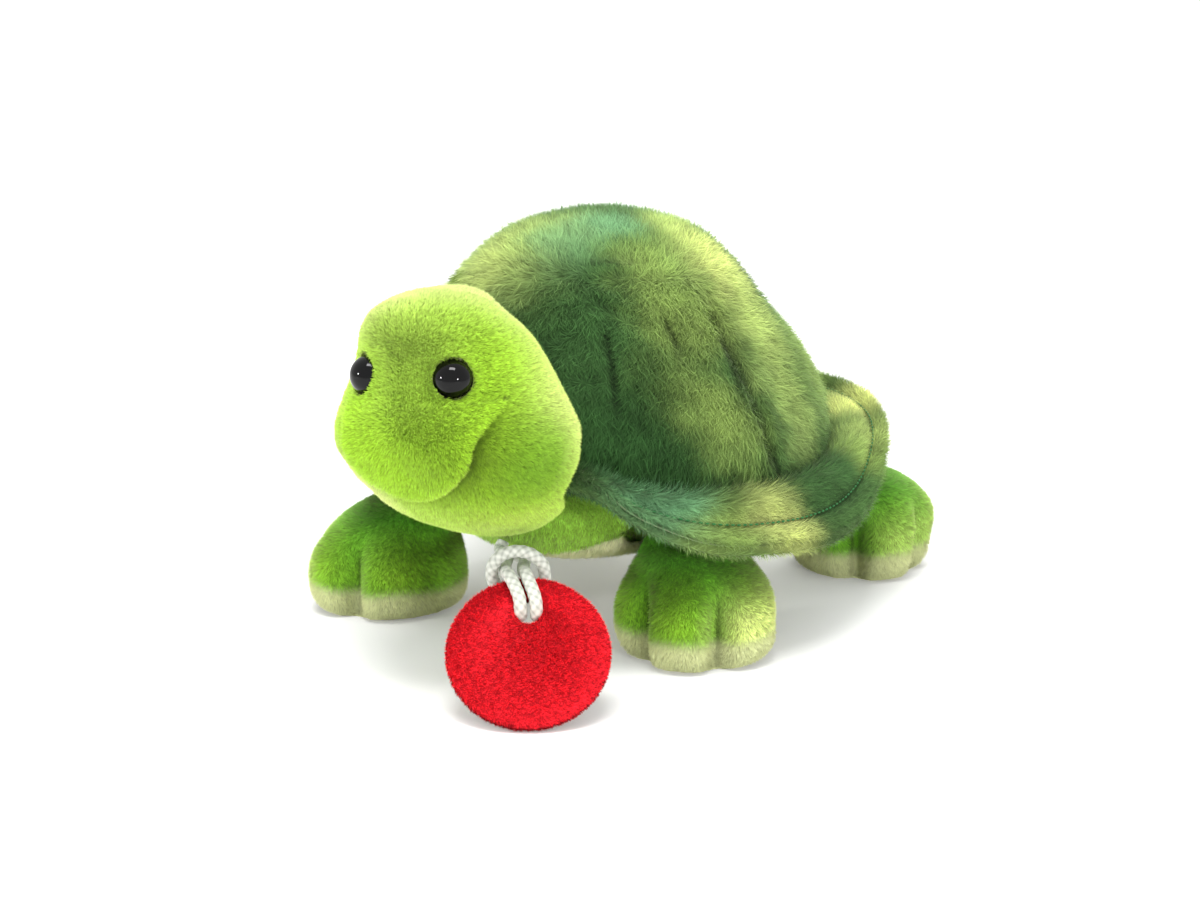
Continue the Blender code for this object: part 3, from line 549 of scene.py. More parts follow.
# colours, all as linear light

# on the head, the pale lime and the side lime are painted sheen and the deep lime is painted shade
colours = {
    "lime": (0.33, 0.60, 0.028), "limePaintedSheen": (0.69, 0.74, 0.29), "limeSidePaintedSheen": (0.62, 0.78, 0.19),
    # on the paws, the plain green is their shaded tone, the pale green is painted light and the green rim is painted
    # sheen
    "limePaintedShade": (0.17, 0.36, 0.02), "green": (0.075, 0.33, 0.018), "greenPaintedLight": (0.36, 0.68, 0.040),
    "greenPaintedRimSheen": (0.76, 0.90, 0.26), "sole": (0.80, 0.86, 0.42), "belly": (0.97, 1.00, 0.55),
    "chest": (0.36, 0.70, 0.070), "shellDeep": (0.022, 0.072, 0.016), "shellMid": (0.045, 0.118, 0.030),
    "shellOlive": (0.28, 0.40, 0.095), "shellLime": (0.42, 0.54, 0.15), "shellYellow": (0.70, 0.76, 0.24),
    "shellTeal": (0.155, 0.35, 0.165), "lining": (0.055, 0.14, 0.04)}


def blend(paint, share, colour):
    # lays a named colour over a paint
    return paint * (1 - column(share)) + np.array(colours[colour]) * column(share)


def paintBlobs(points, base, blobs=()):
    # soft patches laid over a base, each x, y, z and reach in mm, colour and strength
    paint = np.tile(np.array(colours[base]), (len(points), 1))
    for x, y, z, reach, colour, strength in blobs:
        away = awayFrom(points, (x / 1000, y / 1000, z / 1000))
        paint = blend(paint, strength * bell(away, reach / 1000, 3), colour)
    return paint


# pile

def strandPiece(name, stations):
    # one fibre tuft of unit length: (forward, rise, width, share of its length) from root to tip
    points = [(forward, side * width / 2, rise) for forward, rise, width, share in stations[:-1] for side in (-1, 1)]
    shares = [share for forward, rise, width, share in stations[:-1] for side in (-1, 1)]
    faces = [(2 * index, 2 * index + 1, 2 * index + 3, 2 * index + 2) for index in range(len(stations) - 2)]
    faces.append((len(points) - 2, len(points) - 1, len(points)))
    piece = pieceFrom(name, points + [(stations[-1][0], 0, stations[-1][1])], faces)
    setAttribute(piece.data, "strandShare", "FLOAT", shares + [1.0])
    return piece


def openTree(name, inputs, output):
    # an empty node group with its sockets, and its inputs as fields
    tree = bpy.data.node_groups.new(name, "GeometryNodeTree")
    for key, kind in inputs.items():
        tree.interface.new_socket(name=key, in_out="INPUT", socket_type="NodeSocket" + kind)
    tree.interface.new_socket(name=output, in_out="OUTPUT", socket_type="NodeSocketGeometry")
    g = Graph(tree)
    given = tree.nodes.new("NodeGroupInput")
    return g, {socket.name: Field(g, socket) for socket in given.outputs if socket.name}


def closeTree(g, shapes, finish, output):
    real = g.add("GeometryNodeRealizeInstances", None, {"Geometry": shapes})
    finished = g.add("GeometryNodeSetMaterial", None, {"Geometry": real, "Material": finish})
    g.fill(g.tree.nodes.new("NodeGroupOutput").inputs[output], finished)
    return g.tree


def useTree(piece, tree, values):
    # puts a node group to work on a piece and keeps the plain mesh it gives
    step = addStep(piece, "NODES", node_group=tree)
    place = {item.name: item.identifier for item in tree.interface.items_tree if item.in_out == "INPUT"}
    for key, value in values.items():
        step[place[key]] = value
    settle(piece)


# how tufts differ: lean about each axis, length, width, and the share of each that the clumps decide; the clumps'
# share of tone is painted light on their tops and painted shade between them
tuftRange = {"lean": {"X": 0.35, "Y": 0.5, "Z": 0.9}, "length": (0.75, 1.15), "width": (0.7, 1.2),
             "clumpLength": (0.72, 0.56), "clumpLightAndShade": (-0.7, 2.4)}


def pileTree():
    # scatters tufts over a skin, lying the way its comb attribute points
    amounts = ("Per Square Metre", "Length", "Width", "Clump Size", "Clump Stretch", "Clump Pull", "Spread",
               "Loose Tone")
    g, want = openTree("pile", {"Skin": "Geometry", "Strand": "Object", **dict.fromkeys(amounts, "Float"),
                                "Seed": "Int", "Finish": "Material"}, "Pile")

    def named(name, kind):
        return g.add("GeometryNodeInputNamedAttribute", {"data_type": kind}, {"Name": name}, "Attribute")

    def random(low, high, offset):
        return g.add("FunctionNodeRandomValue", {"data_type": "FLOAT"},
                     {"Min": low, "Max": high, "Seed": want["Seed"] + offset}, "Value")

    places = g.add("GeometryNodeDistributePointsOnFaces", {"distribute_method": "RANDOM"}, {
        "Mesh": want["Skin"], "Density": want["Per Square Metre"] * named("pileDensity", "FLOAT"),
        "Seed": want["Seed"]})
    stretch = g.add("ShaderNodeCombineXYZ", None, {"X": 1.0, "Y": 1.0, "Z": want["Clump Stretch"]})
    wave = g.add("ShaderNodeTexNoise", None, {
        "Vector": g.vectorMath("MULTIPLY", g.add("GeometryNodeInputPosition"), stretch),
        "Scale": 1 / want["Clump Size"], "Detail": 1.0}, "Fac")
    sway = g.vectorMath("SUBTRACT", wave.also("Color"), (0.5, 0.5, 0.5))
    comb = g.vectorMath("ADD", named("comb", "FLOAT_VECTOR"), g.vectorMath("SCALE", sway, want["Clump Pull"]))
    stand = g.add("FunctionNodeAlignRotationToVector", {"axis": "Z"}, {"Vector": places.also("Normal")})
    lie = g.add("FunctionNodeAlignRotationToVector", {"axis": "X", "pivot_axis": "Z"},
                {"Rotation": stand, "Vector": comb})
    stray = g.add("ShaderNodeCombineXYZ", None, {
        axis: random(-lean, lean, 11 + index) * want["Spread"]
        for index, (axis, lean) in enumerate(tuftRange["lean"].items())})
    turned = g.add("FunctionNodeRotateRotation", {"rotation_space": "LOCAL"}, {
        "Rotation": lie, "Rotate By": g.add("FunctionNodeEulerToRotation", None, {"Euler": stray})})
    least, more = tuftRange["clumpLength"]
    reach = want["Length"] * named("pileShare", "FLOAT") * random(*tuftRange["length"], 14) * (least + more * wave)
    width = want["Width"] * random(*tuftRange["width"], 15)
    # the tone is partly at random and partly painted light and shade from the clumps
    least, more = tuftRange["clumpLightAndShade"]
    toneAndLight = want["Loose Tone"] * random(0.0, 1.0, 16) + (1 - want["Loose Tone"]) * (least + more * wave)
    points = places
    for name, kind, value in (("strandTone", "FLOAT", toneAndLight), ("skinNormal", "FLOAT_VECTOR", places.also("Normal"))):
        points = g.add("GeometryNodeStoreNamedAttribute", {"data_type": kind, "domain": "POINT"},
                       {"Geometry": points, "Name": name, "Value": value})
    tufts = g.add("GeometryNodeInstanceOnPoints", None, {
        "Points": points, "Instance": g.add("GeometryNodeObjectInfo", None, {"Object": want["Strand"]}, "Geometry"),
        "Rotation": turned, "Scale": g.add("ShaderNodeCombineXYZ", None, {"X": reach, "Y": width, "Z": reach})})
    return closeTree(g, tufts, want["Finish"], "Pile")


pileNodes = pileTree()
longStrand = strandPiece("long_strand", [(0, 0, 1, 0), (0.45, 0.24, 0.85, 0.5), (0.98, 0.27, 0, 1)])
furStrand = strandPiece("fur_strand", [(0, 0, 1, 0), (0.98, 0.24, 0, 1)])
shortStrand = strandPiece("short_strand", [(0, 0, 1, 0), (0.62, 0.80, 0, 1)])


def growPile(skin, name, settings, finish, body, seed):
    # one plain mesh of tufts on a skin
    piece = placed(name, skin.data.copy())
    piece.data.materials.clear()
    useTree(piece, pileNodes, {**settings, "Seed": seed, "Finish": finish})
    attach(piece, body)
    return piece


# materials

def newMaterial(name, constants):
    material = bpy.data.materials.new(name)
    material.use_nodes = True
    shader = material.node_tree.nodes["Principled BSDF"]
    for key, value in constants.items():
        shader.inputs[key].default_value = value
    return material, Graph(material.node_tree), shader


def sheenOf(look):
    return {"Sheen Weight": look["sheen"], "Sheen Roughness": look["sheenRoughness"],
            "Sheen Tint": (*look["sheenTint"], 1.0)}


def pileMaterial(name, look):
    # colour from the skin, with painted shade at the roots and a painted highlight towards the tips, and tones that
    # differ from tuft to tuft, partly at random and partly as painted light and shade on the clumps
    material, g, shader = newMaterial(name, {
        "Roughness": look["roughness"], "Specular IOR Level": look["specular"], **sheenOf(look)})
    spread = look["toneSpread"]
    along = look["rootPaintedShade"] + (look["tipPaintedLight"] - look["rootPaintedShade"]) * g.attribute("strandShare", "Fac")
    tint = along * (1 - spread / 2 + spread * g.attribute("strandTone", "Fac"))
    g.fill(shader.inputs["Base Color"], g.vectorMath("SCALE", g.attribute("pileColour", "Color"), tint))
    lying = g.add("ShaderNodeVectorTransform", {
        "vector_type": "NORMAL", "convert_from": "OBJECT", "convert_to": "WORLD"},
        {"Vector": g.attribute("skinNormal", "Vector")})
    own = g.add("ShaderNodeNewGeometry", None, None, "Normal")
    bent = g.vectorMath("ADD", g.vectorMath("SCALE", lying, look["skinShare"]),
                        g.vectorMath("SCALE", own, 1 - look["skinShare"]))
    g.fill(shader.inputs["Normal"], g.vectorMath("NORMALIZE", bent))
    return material


def skinMaterial(name, look):
    # the cloth under the pile, with its short ground fibres
    material, g, shader = newMaterial(name, {"Roughness": 0.95, "Specular IOR Level": 0.1, **sheenOf(look)})
    grain = g.grain(look["grainScale"], 3.0)
    paint = g.attribute("pileColour", "Color")
    g.fill(shader.inputs["Base Color"], g.vectorMath("SCALE", paint, look["ground"] * (0.75 + 0.5 * grain)))
    g.fill(shader.inputs["Normal"],
           g.add("ShaderNodeBump", None, {"Strength": 0.6, "Distance": 0.0004, "Height": grain}))
    return material


# in each look, root is painted shade at the pile's roots and tip a painted highlight on its tips
plushLook = {"roughness": 0.85, "sheen": 0.8, "sheenRoughness": 0.50, "sheenTint": (1.0, 0.97, 0.50), "specular": 0.1,
             "rootPaintedShade": 0.60, "tipPaintedLight": 1.50, "toneSpread": 0.80, "skinShare": 0.62, "ground": 0.80, "grainScale": 900}
soleLook = {**plushLook, "rootPaintedShade": 0.85, "tipPaintedLight": 1.15, "toneSpread": 0.25, "ground": 1.0}
shellLook = {"roughness": 0.8, "sheen": 0.45, "sheenRoughness": 0.40, "sheenTint": (0.8, 1.0, 0.55), "specular": 0.15,
             "rootPaintedShade": 0.60, "tipPaintedLight": 1.45, "toneSpread": 1.10, "skinShare": 0.42, "ground": 0.60, "grainScale": 700}
plushPile = pileMaterial("plush_pile", plushLook)
plushSkin = skinMaterial("plush_skin", plushLook)
solePile = pileMaterial("sole_pile", soleLook)
soleSkin = skinMaterial("sole_skin", soleLook)
shellPile = pileMaterial("shell_pile", shellLook)
shellSkin = skinMaterial("shell_skin", shellLook)


def dress(piece, node, body):
    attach(piece, body)
    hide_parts(node)


def finishSkin(piece, material, inset, paint, comb, share, bare, sunk=None):
    # moves the skin in by the height of its pile and stores what the pile needs
    mesh = piece.data
    points, normals = readPoints(mesh, True)
    writePoints(mesh, points - normals * column(inset * (share if sunk is None else sunk)))
    setAttribute(mesh, "pileColour", "FLOAT_COLOR", np.hstack([np.clip(paint, 0, 1), np.ones((len(paint), 1))]))
    setAttribute(mesh, "comb", "FLOAT_VECTOR", comb)
    setAttribute(mesh, "pileShare", "FLOAT", share)
    empty = bare(readRows(mesh.polygons, "center"), readRows(mesh.polygons, "normal"))
    setAttribute(mesh, "pileDensity", "FLOAT", np.where(empty, 0.0, 1.0), "FACE")
    mesh.materials.clear()
    mesh.materials.append(material)


# shell

leftCreases = [
    {
        "points": [(10.5, -18.9, 86.2), (13.0, -17.5, 85.8), (16.2, -14.5, 85.4), (20.3, -10.2, 84.4)],
        "depth": 0.0006, "width": 0.0012},
    {
        "points": [(13.2, -23.6, 81.6), (16.3, -23.3, 79.7), (20.3, -21.5, 77.3), (25.5, -17.5, 74.7)],
        "depth": 0.0012, "width": 0.0014},
    {
        "points": [(26.5, -13.6, 76.3), (28.8, -13.7, 73.2), (30.9, -13.9, 70.2), (32.9, -13.8, 67.5)],
        "depth": 0.0011, "width": 0.0014},
    {
        "points": [
            (18.8, -24.6, 76.2), (20.5, -26.7, 72.6), (22.1, -28.3, 69.3), (24.4, -30.5, 65.0), (25.9, -32.3, 61.4),
            (27.5, -33.6, 56.0)], "depth": 0.0009, "width": 0.0013},
    {
        "points": [(9.1, -35.4, 71.9), (10.6, -34.0, 72.7), (11.7, -32.5, 73.8), (13.4, -29.8, 76.0)],
        "depth": 0.0009, "width": 0.0013},
    {"points": [(16.5, -36.8, 66.2), (20.1, -34.2, 65.7), (22.4, -32.6, 65.4)], "depth": 0.0008, "width": 0.0013},
    {
        "points": [
            (29.3, 1.1, 78.6), (32.3, 0.3, 74.3), (35.3, -0.1, 69.8), (39.8, 0.0, 63.0), (44.2, -0.8, 55.3),
            (47.2, -1.0, 47.6), (47.8, 0.9, 41.5), (48.3, 1.1, 36.0)], "depth": 0.0026, "width": 0.0016,
        "fade": 0.10, "openEnd": True},
    {"points": [(34.7, -1.9, 70.4), (37.9, -3.2, 65.2), (42.1, -5.6, 57.6)], "depth": 0.0006, "width": 0.0012},
    {"points": [(29.6, 17.5, 76.9), (32.2, 16.8, 73.6), (34.9, 17.7, 69.5)], "depth": 0.0006, "width": 0.0013},
    {
        "points": [(27.0, 24.0, 76.0), (24.0, 30.5, 72.5), (26.0, 36.0, 66.0), (28.5, 40.0, 58.0)], "depth": 0.0009,
        "width": 0.0013},
    {"points": [(10.0, 27.0, 84.0), (16.0, 26.0, 82.0), (22.0, 23.0, 79.0)], "depth": 0.0009, "width": 0.0013}]
rightCreases = [{**line, "points": [(-2.4 - x, y, z) for x, y, z in line["points"]]} for line in leftCreases[6:]]

shellPatches = [
    (-12, -17, 87, 17, "shellLime", 0.66), (-16, -22, 80, 12, "shellYellow", 0.30),
    (3, -8, 92, 9, "shellLime", 0.3), (9, -3, 92, 8, "shellTeal", 0.8), (3, -15, 89, 9, "shellTeal", 0.55),
    (20, 12, 88, 11, "shellLime", 0.85), (28, 13, 80, 12, "shellYellow", 0.75), (34, 14, 72, 12, "shellLime", 0.85),
    (42, 12, 60, 11, "shellLime", 0.6), (47, 14, 48, 10, "shellLime", 0.45), (22, -8, 82, 10, "shellOlive", 0.8),
    (31, -4, 74, 9, "shellOlive", 0.8), (36, -20, 64, 9, "shellOlive", 0.9), (41, -14, 55, 9, "shellOlive", 0.95),
    (30, -12, 76, 9, "shellOlive", 0.7), (44, -7, 47, 8, "shellOlive", 0.6), (33, -28, 46, 13, "shellDeep", 0.9),
    (26, -36, 54, 11, "shellDeep", 0.7), (28, -22, 62, 9, "shellDeep", 0.6), (12, -34, 72, 9, "shellMid", 0.6),
    (45, 22, 58, 9, "shellMid", 0.5), (36, 35, 55, 14, "shellOlive", 0.8), (10, 50, 60, 16, "shellDeep", 0.7),
    (0, 30, 84, 15, "shellTeal", 0.6), (-20, 30, 78, 14, "shellLime", 0.8), (-38, 12, 62, 13, "shellDeep", 0.7),
    (-27, -20, 76, 12, "shellLime", 0.85), (-34, -14, 68, 11, "shellLime", 0.7),
    (-42, -12, 56, 13, "shellOlive", 0.8), (-44, 20, 50, 13, "shellLime", 0.7),
    (-25, -38, 52, 12, "shellTeal", 0.5), (-20, 52, 55, 13, "shellYellow", 0.6), (25, 55, 48, 11, "shellLime", 0.6),
    (-35, 42, 46, 10, "shellDeep", 0.7)]

shellPileSettings = {"Strand": furStrand, "Per Square Metre": 1.0e7, "Length": 0.0034, "Width": 0.00018,
                     "Clump Size": 0.0022, "Clump Stretch": 0.6, "Clump Pull": 1.0, "Spread": 0.8, "Loose Tone": 0.6}
strayPileSettings = {**shellPileSettings, "Strand": longStrand, "Per Square Metre": 3.5e6, "Length": 0.0042,
                     "Width": 0.00015, "Spread": 1.1}
dome = {
    "voxel": 0.0010, "smoothing": 3, "throat": 0.0025, "inset": 0.0013, "heldBelow": 0.040, "heldSpan": 0.004,
    "swell": 0.0006, "swellSize": 0.016, "shutHeight": 0.038, "shutSpan": 0.007, "patchSize": 0.012,
    "fineSize": 0.005, "wander": 0.004, "patchTone": 0.20, "fineTone": 0.12, "seamShade": 0.85, "parting": 0.0005,
    "partingSpan": 0.0012, "combFront": (0.10, -0.80, -0.60), "combRear": (0.10, 0.55, -0.85), "combOutward": 0.25,
    "combTop": (-0.7, 0.6, -0.2), "topFacing": 0.55, "topSpan": 0.3, "seamPile": 0.60, "leastPile": 0.3,
    "bareBelow": 0.0345, "bareFacing": -0.5, "bareReach": 0.046, "bareNear": 0.56}


def domeCreases(points):
    return creaseField(points, leftCreases + rightCreases)


def nearSeams(points):
    # where the dome's cloth is held: its sewn lines and its lower edge
    return np.maximum(domeCreases(points)[1], ramp(-points[:, 2], -dome["heldBelow"], dome["heldSpan"]))


def domeBare(spots, facing):
    # no pile inside the seams, under the dome and where the neck goes in
    under = (facing[:, 2] < dome["bareFacing"]) & (np.abs(spots[:, 0]) < dome["bareReach"])
    return (spots[:, 2] < dome["bareBelow"]) | under | (domeCreases(spots)[1] > dome["bareNear"])


def makeDome():
    skin = cutRounded(shellForm("shell_dome_skin"), [
        ballPiece("seat", toGround + Vector(head["base"]), head["baseRadius"] + seamGap),
        ballPiece("throat", toGround + Vector(head["neck"]), head["neckRadius"] + dome["throat"])],
        dome["voxel"], dome["smoothing"])
    plump(skin, nearSeams)
    points, normals = readPoints(skin.data, True)
    depth, near, wide = domeCreases(points)
    swell = dome["swell"] * cloudNoise(points, dome["swellSize"], 3)
    depth *= ramp(points[:, 2], dome["shutHeight"], dome["shutSpan"])  # the lower ends stay shut against the brim
    writePoints(skin.data, points + normals * column(swell - depth))
    points, normals = readPoints(skin.data, True)
    patchy = cloudNoise(points, dome["patchSize"], 1)
    fine = cloudNoise(points, dome["fineSize"], 2)
    spots = points + dome["wander"] * np.stack([patchy, fine, patchy * fine], axis=1)
    paint = paintBlobs(spots, "shellMid", shellPatches)
    paint *= column(1 + dome["patchTone"] * patchy + dome["fineTone"] * fine)
    paint *= column(1 - dome["seamShade"] * near)
    front = column(1 / (1 + np.exp((points[:, 1] - dome["parting"]) / dome["partingSpan"])))
    comb = front * np.array(dome["combFront"]) + (1 - front) * np.array(dome["combRear"])
    comb[:, 0] += dome["combOutward"] * np.sign(points[:, 0])
    top = column(ramp(normals[:, 2], dome["topFacing"], dome["topSpan"]))
    comb = comb * (1 - top) + np.array(dome["combTop"]) * top
    share = np.clip(1 - dome["seamPile"] * wide, dome["leastPile"], 1)
    finishSkin(skin, shellSkin, dome["inset"], paint, comb, share, domeBare)
    dress(skin, "shell_dome", "body")
    for index, settings in enumerate((shellPileSettings, shellPileSettings, strayPileSettings)):
        growPile(skin, "shell_dome_pile_%d" % (index + 1), settings, shellPile, "body", 100 + index)
    print("dome", len(skin.data.vertices))


makeDome()

brimLook = {
    "stitchShare": 0.76, "puff": 0.0015, "edgePuff": 0.0008, "puffPower": 0.8, "edgeTurn": 0.8, "wave": 0.0009,
    "columns": 300, "steps": 26, "rimStart": 0.93, "drop": 0.0006, "underPuff": 0.6, "rollSpan": 0.15,
    "rollPaint": (0.2, 0.08), "rollLime": 0.55, "patchTone": 0.25, "patchSize": 0.010, "broadStart": 0.35,
    "broadSpan": 0.3, "stitchReach": 0.040, "stitchShade": 0.6, "rootShade": 0.5, "rootReach": 0.10, "combOut": 0.8,
    "combRound": 0.75, "combDrop": 0.25, "pileBefore": 0.60, "pileOutside": 0.45, "pileNear": 0.3,
    "leastPile": 0.12, "liningPile": 0.8}
brimPatches = [
    (33, -37, 41, 9, "shellTeal", 0.7), (41, -31, 37, 9, "shellTeal", 0.95), (48, -24, 33, 7, "shellOlive", 0.8),
    (52, -12, 33, 9, "shellYellow", 0.6), (58, -8, 27, 7, "shellYellow", 0.65), (54, 6, 34, 8, "shellMid", 0.8),
    (55, 20, 34, 9, "shellMid", 0.6), (52, 32, 36, 7, "shellOlive", 0.8), (50, 44, 39, 9, "shellLime", 0.8),
    (38, 60, 41, 10, "shellYellow", 0.85), (59, 25, 30, 6, "shellMid", 0.6), (46, -33, 31, 6, "shellOlive", 0.6),
    (15, 72, 41, 12, "shellOlive", 0.8), (-10, 74, 41, 10, "shellTeal", 0.7), (-35, 62, 41, 12, "shellLime", 0.8),
    (-54, 40, 36, 12, "shellDeep", 0.8), (-59, 10, 30, 12, "shellYellow", 0.7),
    (-55, -15, 30, 10, "shellTeal", 0.8), (-45, -32, 36, 10, "shellOlive", 0.7)]
brimPileSettings = {"Strand": furStrand, "Per Square Metre": 2.0e7, "Length": 0.0040, "Width": 0.00018,
                    "Clump Size": 0.0030, "Clump Stretch": 1.0, "Clump Pull": 1.2, "Spread": 1.1, "Loose Tone": 0.6}
liningPileSettings = {**brimPileSettings, "Per Square Metre": 1.2e7, "Length": 0.0026}
stitchLook = {"pitch": 0.0016, "length": 0.0011, "width": 0.00042, "sink": -0.0002, "colour": (0.020, 0.16, 0.035),
              "twist": 4000.0, "feel": 0.001, "leastBreadth": 0.5}


def brimLayer(name, low, high, upper):
    # one layer of the brim, puffed on both sides of the stitch line
    look, stitch = brimLook, brimLook["stitchShare"]
    shares = [i / look["steps"] for i in range(look["steps"] + 1)]
    loops = []
    for turn in roundTurns(look["columns"]):
        outer, inner = [], []
        for share in shares:
            wave = look["wave"] * share * noise.noise(Vector((cos(turn) * 4, sin(turn) * 4, share)))
            if share < stitch:
                puff = look["puff"] * sin(pi * share / stitch) ** look["puffPower"]
            else:
                past = (share - stitch) / (1 - stitch)
                puff = look["edgePuff"] * sin(pi * past * look["edgeTurn"]) ** look["puffPower"]
            rim = 0.5 * (high - low) * max(0.0, (share - look["rimStart"]) / (1 - look["rimStart"])) ** 2
            lift = wave + (puff - look["drop"] if upper else 0.0) - rim
            dip = wave - (0.0 if upper else look["underPuff"] * puff) + rim
            outer.append(brimPoint(turn, share, low) + Vector((0, 0, lift)))
            inner.append(brimPoint(turn, share, high) + Vector((0, 0, dip)))
        loops.append(outer + inner[::-1])
    return bandPiece(name, loops)


def brimBreadth(turn):
    return stationValue(shell["brim"], sideShare(turn))[1]


def brimCoordinates(points):
    # turn round the brim and share across it, for each point
    flat = points - np.array(toGround) - np.array([0, shell["centreY"], 0])
    turns = np.arctan2(flat[:, 1] / shell["halfLength"], flat[:, 0] / shell["halfWidth"])
    start = np.hypot(shell["halfWidth"] * np.cos(turns), shell["halfLength"] * np.sin(turns))
    width = np.array([brimBreadth(turn) * (1 - shell["rightTrim"] * rightShare(turn)) for turn in turns])
    return turns, (np.hypot(flat[:, 0], flat[:, 1]) - start) / (width * shell["brimWidth"])


def stitchTree():
    # one rounded stitch on every point, laid along the seam
    g, want = openTree("stitches", {"Places": "Geometry", "Stitch": "Object", "Length": "Float", "Width": "Float",
                                    "Finish": "Material"}, "Seam")
    along = g.add("GeometryNodeInputNamedAttribute", {"data_type": "FLOAT_VECTOR"}, {"Name": "along"}, "Attribute")
    stitches = g.add("GeometryNodeInstanceOnPoints", None, {
        "Points": g.add("GeometryNodeMeshToPoints", None, {"Mesh": want["Places"]}, "Points"),
        "Instance": g.add("GeometryNodeObjectInfo", None, {"Object": want["Stitch"]}, "Geometry"),
        "Rotation": g.add("FunctionNodeAlignRotationToVector", {"axis": "X"}, {"Vector": along}),
        "Scale": g.add("ShaderNodeCombineXYZ", None, {"X": want["Length"], "Y": want["Width"], "Z": want["Width"]})})
    return closeTree(g, stitches, want["Finish"], "Seam")


def sewStitches(name, places, directions, finish, body, look):
    seam = pieceFrom(name, places, [])
    setAttribute(seam.data, "along", "FLOAT_VECTOR", directions)
    stitch = ballPiece("stitch", (0, 0, 0), 0.5, columns=8, levels=6)
    useTree(seam, stitchTree(), {"Stitch": stitch, "Length": look["length"], "Width": look["width"],
                                 "Finish": finish})
    bpy.data.objects.remove(stitch)
    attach(seam, body)


def brimStitches():
    look = stitchLook
    material, g, shader = newMaterial("seam_thread", {"Roughness": 0.5, "Specular IOR Level": 0.4})
    g.fill(shader.inputs["Base Color"], g.vectorMath("SCALE", look["colour"], 0.6 + 0.8 * g.grain(look["twist"])))
    places, directions = [], []
    turn = 0.0
    while turn < 2 * pi:
        spot = brimPoint(turn, brimLook["stitchShare"], 0.0)
        ahead = brimPoint(turn + look["feel"], brimLook["stitchShare"], 0.0) - spot
        if brimBreadth(turn) > look["leastBreadth"]:
            places.append(spot - Vector((0, 0, look["sink"])))
            directions.append(ahead.normalized())
        turn += look["feel"] * look["pitch"] / ahead.length
    sewStitches("brim_stitches", places, np.array(directions), material, "body", look)


def makeBrim():
    look, stitch, between = brimLook, brimLook["stitchShare"], shell["topLayer"] + seamGap
    for name, low, high, upper, node in (
            ("shell_brim_skin", 0.0, shell["topLayer"], True, "shell_brim"),
            ("brim_lining_skin", between, between + shell["lining"], False, "brim_lining")):
        skin = brimLayer(name, low, high, upper)
        points, normals = readPoints(skin.data, True)
        turns, shares = brimCoordinates(points)
        paint = paintBlobs(points, "shellMid" if upper else "lining", brimPatches)
        roll = ramp(shares, stitch + 0.02, look["rollSpan"]) * look["rollPaint"][upper]
        paint = blend(paint, look["rollLime"] * roll, "shellLime")
        paint *= column(1 + look["patchTone"] * cloudNoise(points, look["patchSize"], 5))
        broad = ramp(np.array([brimBreadth(turn) for turn in turns]), look["broadStart"], look["broadSpan"])
        near = broad * bell(shares - stitch, look["stitchReach"])
        paint *= column(1 - look["stitchShade"] * near * upper)
        paint *= column(1 - look["rootShade"] * bell(np.maximum(shares, 0), look["rootReach"]))
        level = 0 * turns
        outward = np.stack([np.cos(turns), np.sin(turns), level - look["combDrop"]], axis=1)
        around = np.stack([-np.sin(turns), np.cos(turns), level], axis=1) * column(np.sign(np.cos(turns)))
        comb = look["combOut"] * outward + look["combRound"] * around
        before = ramp(shares, 0.50, 0.1) * ramp(-shares, -0.80, 0.05)
        outside = broad * ramp(shares, stitch, 0.03)
        share = np.full(len(points), look["liningPile"])
        if upper:
            shorter = look["pileBefore"] * before * broad + look["pileOutside"] * outside + look["pileNear"] * near
            share = np.clip(1 - shorter, look["leastPile"], 1)
        share *= 1 - np.array([rightShare(turn) for turn in turns])
        finishSkin(skin, shellSkin, 0.0, paint, comb, share,
                   lambda spots, facing: (facing[:, 2] < -0.3) if upper else (facing[:, 2] > 0.3))
        dress(skin, node, "body")
        settings = brimPileSettings if upper else liningPileSettings
        growPile(skin, node + "_pile", settings, shellPile, "body", 120 + upper)
    brimStitches()
    print("brim ready")


makeBrim()


# head

# points in mm, and how strong the fold is at each
mouthFold = {
    "points": [
        (20.1, -65.9, 67.4), (19.8, -68.4, 65.4), (19.1, -70.7, 63.7), (17.9, -73.2, 60.9), (16.7, -75.0, 58.5),
        (16.0, -74.9, 55.4), (15.2, -74.8, 53.1), (13.8, -74.2, 51.0), (11.2, -73.9, 48.3), (7.3, -72.8, 45.6),
        (3.4, -72.2, 44.1), (-0.7, -72.0, 43.6), (-5.5, -73.0, 44.4), (-10.5, -73.6, 46.8), (-15.0, -74.2, 50.6),
        (-15.4, -75.2, 54.9), (-15.6, -75.3, 58.2), (-16.4, -74.2, 60.9), (-16.8, -72.8, 64.0)],
    "strength": [
        0.15, 0.35, 0.6, 0.85, 1.0, 1.0, 1.0, 0.95, 0.85, 0.7, 0.55, 0.45, 0.45, 0.5, 0.6, 0.7, 0.6, 0.4, 0.1],
    "muzzleEnd": -0.055, "lineReach": 0.0007, "bulge": 0.0017, "sink": 0.0021, "rise": 0.0014, "bulgeReach": 0.0110,
    "sinkReach": 0.0042}
headPileSettings = {"Strand": shortStrand, "Per Square Metre": 2.4e7, "Length": 0.0012, "Width": 0.00026,
                    "Clump Size": 0.0009, "Clump Stretch": 1.8, "Clump Pull": 2.0, "Spread": 0.5, "Loose Tone": 0.35}
eyes = {
    "heightShare": 0.721, "turns": {"left": radians(35.5), "right": radians(-31)}, "radius": 0.0041, "cap": 0.0031,
    "band": 0.0005, "sink": 0.0018, "edge": 0.0002, "levels": 14, "post": 0.0012, "postLength": 0.0085,
    "holeTrim": 0.0007, "hollow": 0.0011, "hollowReach": 0.0085, "shadow": 0.25, "shadowReach": 0.0005,
    "ringPile": 0.3, "ringReach": 0.0010, "ringSink": 0.0015}
